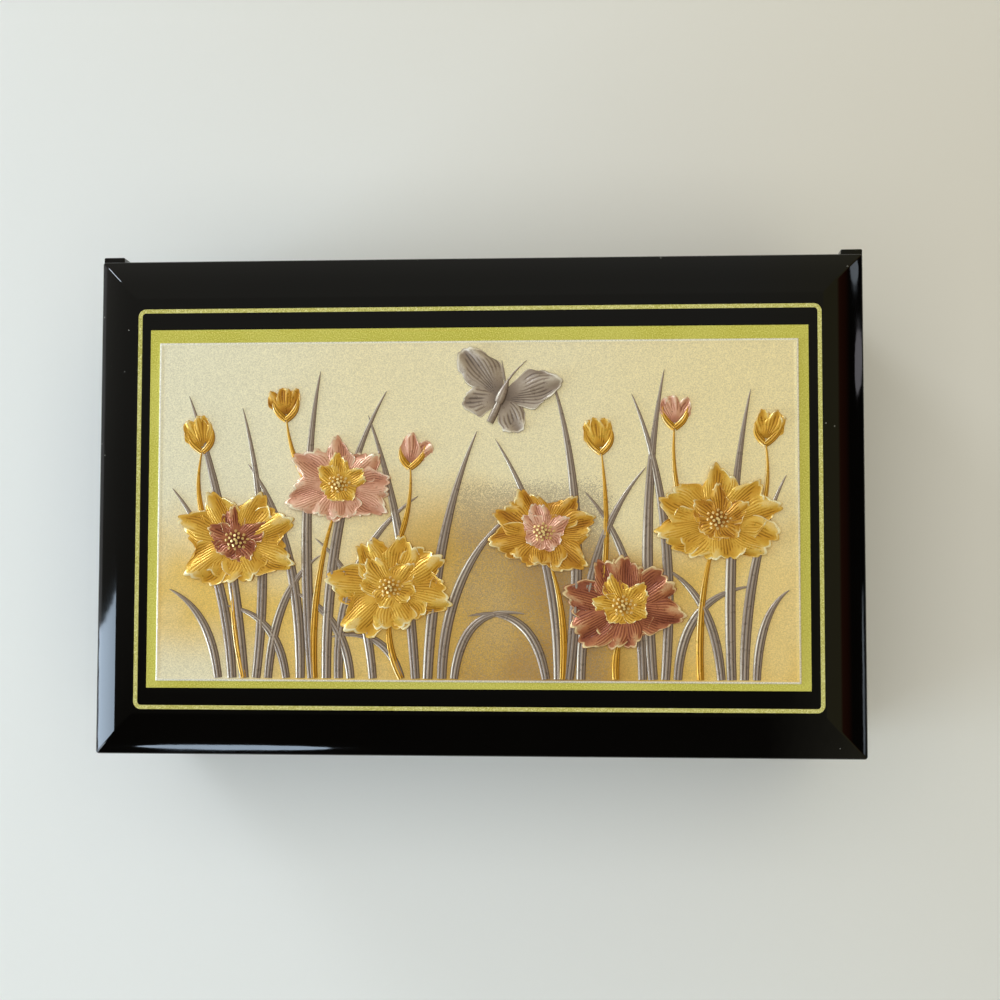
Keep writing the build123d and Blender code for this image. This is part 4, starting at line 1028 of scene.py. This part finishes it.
FLOOR, FLOOR_SIDES = 1.6, 96
# Painted light on the floor: cooler and brighter at the left front, as under a window, warmer and dimmer
# towards the right rear.
FLOOR_PAINTED_COOL_LIGHT, FLOOR_PAINTED_WARM_SHADE = (0.84, 0.885, 0.92), (0.79, 0.78, 0.725)   # left front to right rear
rim = [
    (FLOOR * cos(2 * pi * i / FLOOR_SIDES), FLOOR * sin(2 * pi * i / FLOOR_SIDES), 0)
    for i in range(FLOOR_SIDES)
]
floor_mesh = bpy.data.meshes.new("floor")
floor_mesh.from_pydata(rim, [], [tuple(range(FLOOR_SIDES))])
floor = bpy.data.objects.new("floor", floor_mesh)
bpy.context.scene.collection.objects.link(floor)
f = Finish("pale_floor", Roughness=0.55)
across = f.maths("ADD", f.maths("MULTIPLY", f.axis("X"), 0.75), f.maths("MULTIPLY", f.axis("Y"), 0.55))
f.colour(f.shades(f.remap(across, -0.10, 0.20), (0.0, FLOOR_PAINTED_COOL_LIGHT), (1.0, FLOOR_PAINTED_WARM_SHADE)))
floor_mesh.materials.append(f.material)


def lamp(name, place, aim, size, power, colour, shape="RECTANGLE", lean=0.0):
    data = bpy.data.lights.new(name, "AREA")
    data.shape = shape
    data.size, data.size_y = size
    data.energy = power
    data.color = colour
    light = bpy.data.objects.new(name, data)
    bpy.context.scene.collection.objects.link(light)
    light.location = place
    facing = (Vector(aim) - Vector(place)).to_track_quat("-Z", "Y").to_matrix()
    light.rotation_euler = (Matrix.Rotation(radians(lean), 3, "X") @ facing).to_euler()
    return light


# Windows and room lights. Gloss shows narrower shapes than the light that the matt surfaces get
BLUE, SKY, PALE = (0.66, 0.82, 1.0), (0.78, 0.89, 1.0), (0.95, 0.92, 1.0)
matt = (
    lamp("day_left", (-1.45, -0.47, 0.28), (0, -0.47, 0.26), (0.96, 0.52), 25.0, (0.74, 0.88, 1.0)),
    lamp("day_corner", (-1.20, 1.20, 0.83), (0, 0, 0.06), (0.55, 0.55), 5.0, (0.92, 0.96, 1.0)),
    lamp("soft_above", (0.0, 0.0, 1.7), (0, 0, 0.05), (2.0, 2.0), 19.5, (1.0, 0.97, 0.90)),
)
for light in matt:
    light.visible_glossy = False
gloss = (
    lamp("window_left", (-1.25, -0.25, 0.34), (0, -0.25, 0.34), (0.42, 0.57), 7.2, BLUE, lean=-3.4),
    lamp("window_corner", (-1.06, 1.06, 0.74), (0, 0, 0.06), (0.50, 0.50), 14.0, SKY),
    lamp("window_near", (-1.00, -1.10, 0.50), (0, 0, 0.06), (0.40, 0.40), 7.0, SKY),
    lamp("window_front", (-0.355, -1.30, 0.39), (-0.06, 0, 0.07), (0.20, 0.11), 0.55, BLUE, "ELLIPSE"),
    lamp("door_right", (1.35, 0.325, 0.39), (0, 0.05, 0.06), (0.05, 0.25), 0.075, SKY, "ELLIPSE", -8.0),
    lamp("wall_right", (1.35, 0.215, 0.29), (0, 0.04, 0.06), (0.065, 0.15), 0.05, PALE, "ELLIPSE", 6.0),
    lamp("glow_right", (1.35, -0.12, 0.25), (0, -0.04, 0.06), (0.20, 0.025), 0.028, SKY, "ELLIPSE"),
)
for light in gloss:
    light.visible_diffuse = False

# Room: dim, darker towards the front, and pale at the level of the horizon
ROOM_FRONT, BACKDROP = (0.020, 0.019, 0.018, 1.0), (0.80, 0.81, 0.81, 1.0)
# Room from its left to its right side, as gloss shows it
ROOM_SIDES = (
    (0.08, (0.34, 0.335, 0.30)), (0.20, (0.34, 0.31, 0.17)), (0.70, (0.34, 0.31, 0.16)),
    (0.76, (0.22, 0.06, 0.03)), (0.87, (0.14, 0.03, 0.012)), (0.93, (0.01, 0.01, 0.01)),
)
world = bpy.data.worlds.new("room")
bpy.context.scene.world = world
world.use_nodes = True
nodes, links = world.node_tree.nodes, world.node_tree.links


def graded(source, low, high):
    node = nodes.new("ShaderNodeMapRange")
    node.inputs["From Min"].default_value = low
    node.inputs["From Max"].default_value = high
    links.new(source, node.inputs["Value"])
    return node.outputs["Result"]


def combined(operation, a, b):
    node = nodes.new("ShaderNodeMath")
    node.operation = operation
    links.new(a, node.inputs[0])
    links.new(b, node.inputs[1])
    return node.outputs[0]


def mixed(share):
    node = nodes.new("ShaderNodeMix")
    node.data_type = "RGBA"
    links.new(share, node.inputs[0])
    return node


split = nodes.new("ShaderNodeSeparateXYZ")
links.new(nodes.new("ShaderNodeTexCoord").outputs["Generated"], split.inputs[0])
wall = nodes.new("ShaderNodeValToRGB")
fill_ramp(wall.color_ramp, ROOM_SIDES)
links.new(split.outputs["X"], wall.inputs["Fac"])
depth = graded(split.outputs["Y"], -0.12, 0.24)
side = graded(split.outputs["X"], 0.10, 0.17)
room = mixed(combined("MAXIMUM", depth, side))
room.inputs[6].default_value = ROOM_FRONT
links.new(wall.outputs["Color"], room.inputs[7])
# Eye and clear sheet see the pale backdrop all round; gloss sees it low down, with the room above
path = nodes.new("ShaderNodeLightPath")
low = graded(split.outputs["Z"], 0.012, 0.0)
share = combined("MULTIPLY", path.outputs["Is Glossy Ray"], low)
for ray in ("Is Camera Ray", "Is Transmission Ray"):
    share = combined("MAXIMUM", share, path.outputs[ray])
pale = mixed(share)
links.new(room.outputs[2], pale.inputs[6])
pale.inputs[7].default_value = BACKDROP
background = nodes["Background"]
links.new(pale.outputs[2], background.inputs["Color"])
background.inputs["Strength"].default_value = 1.0
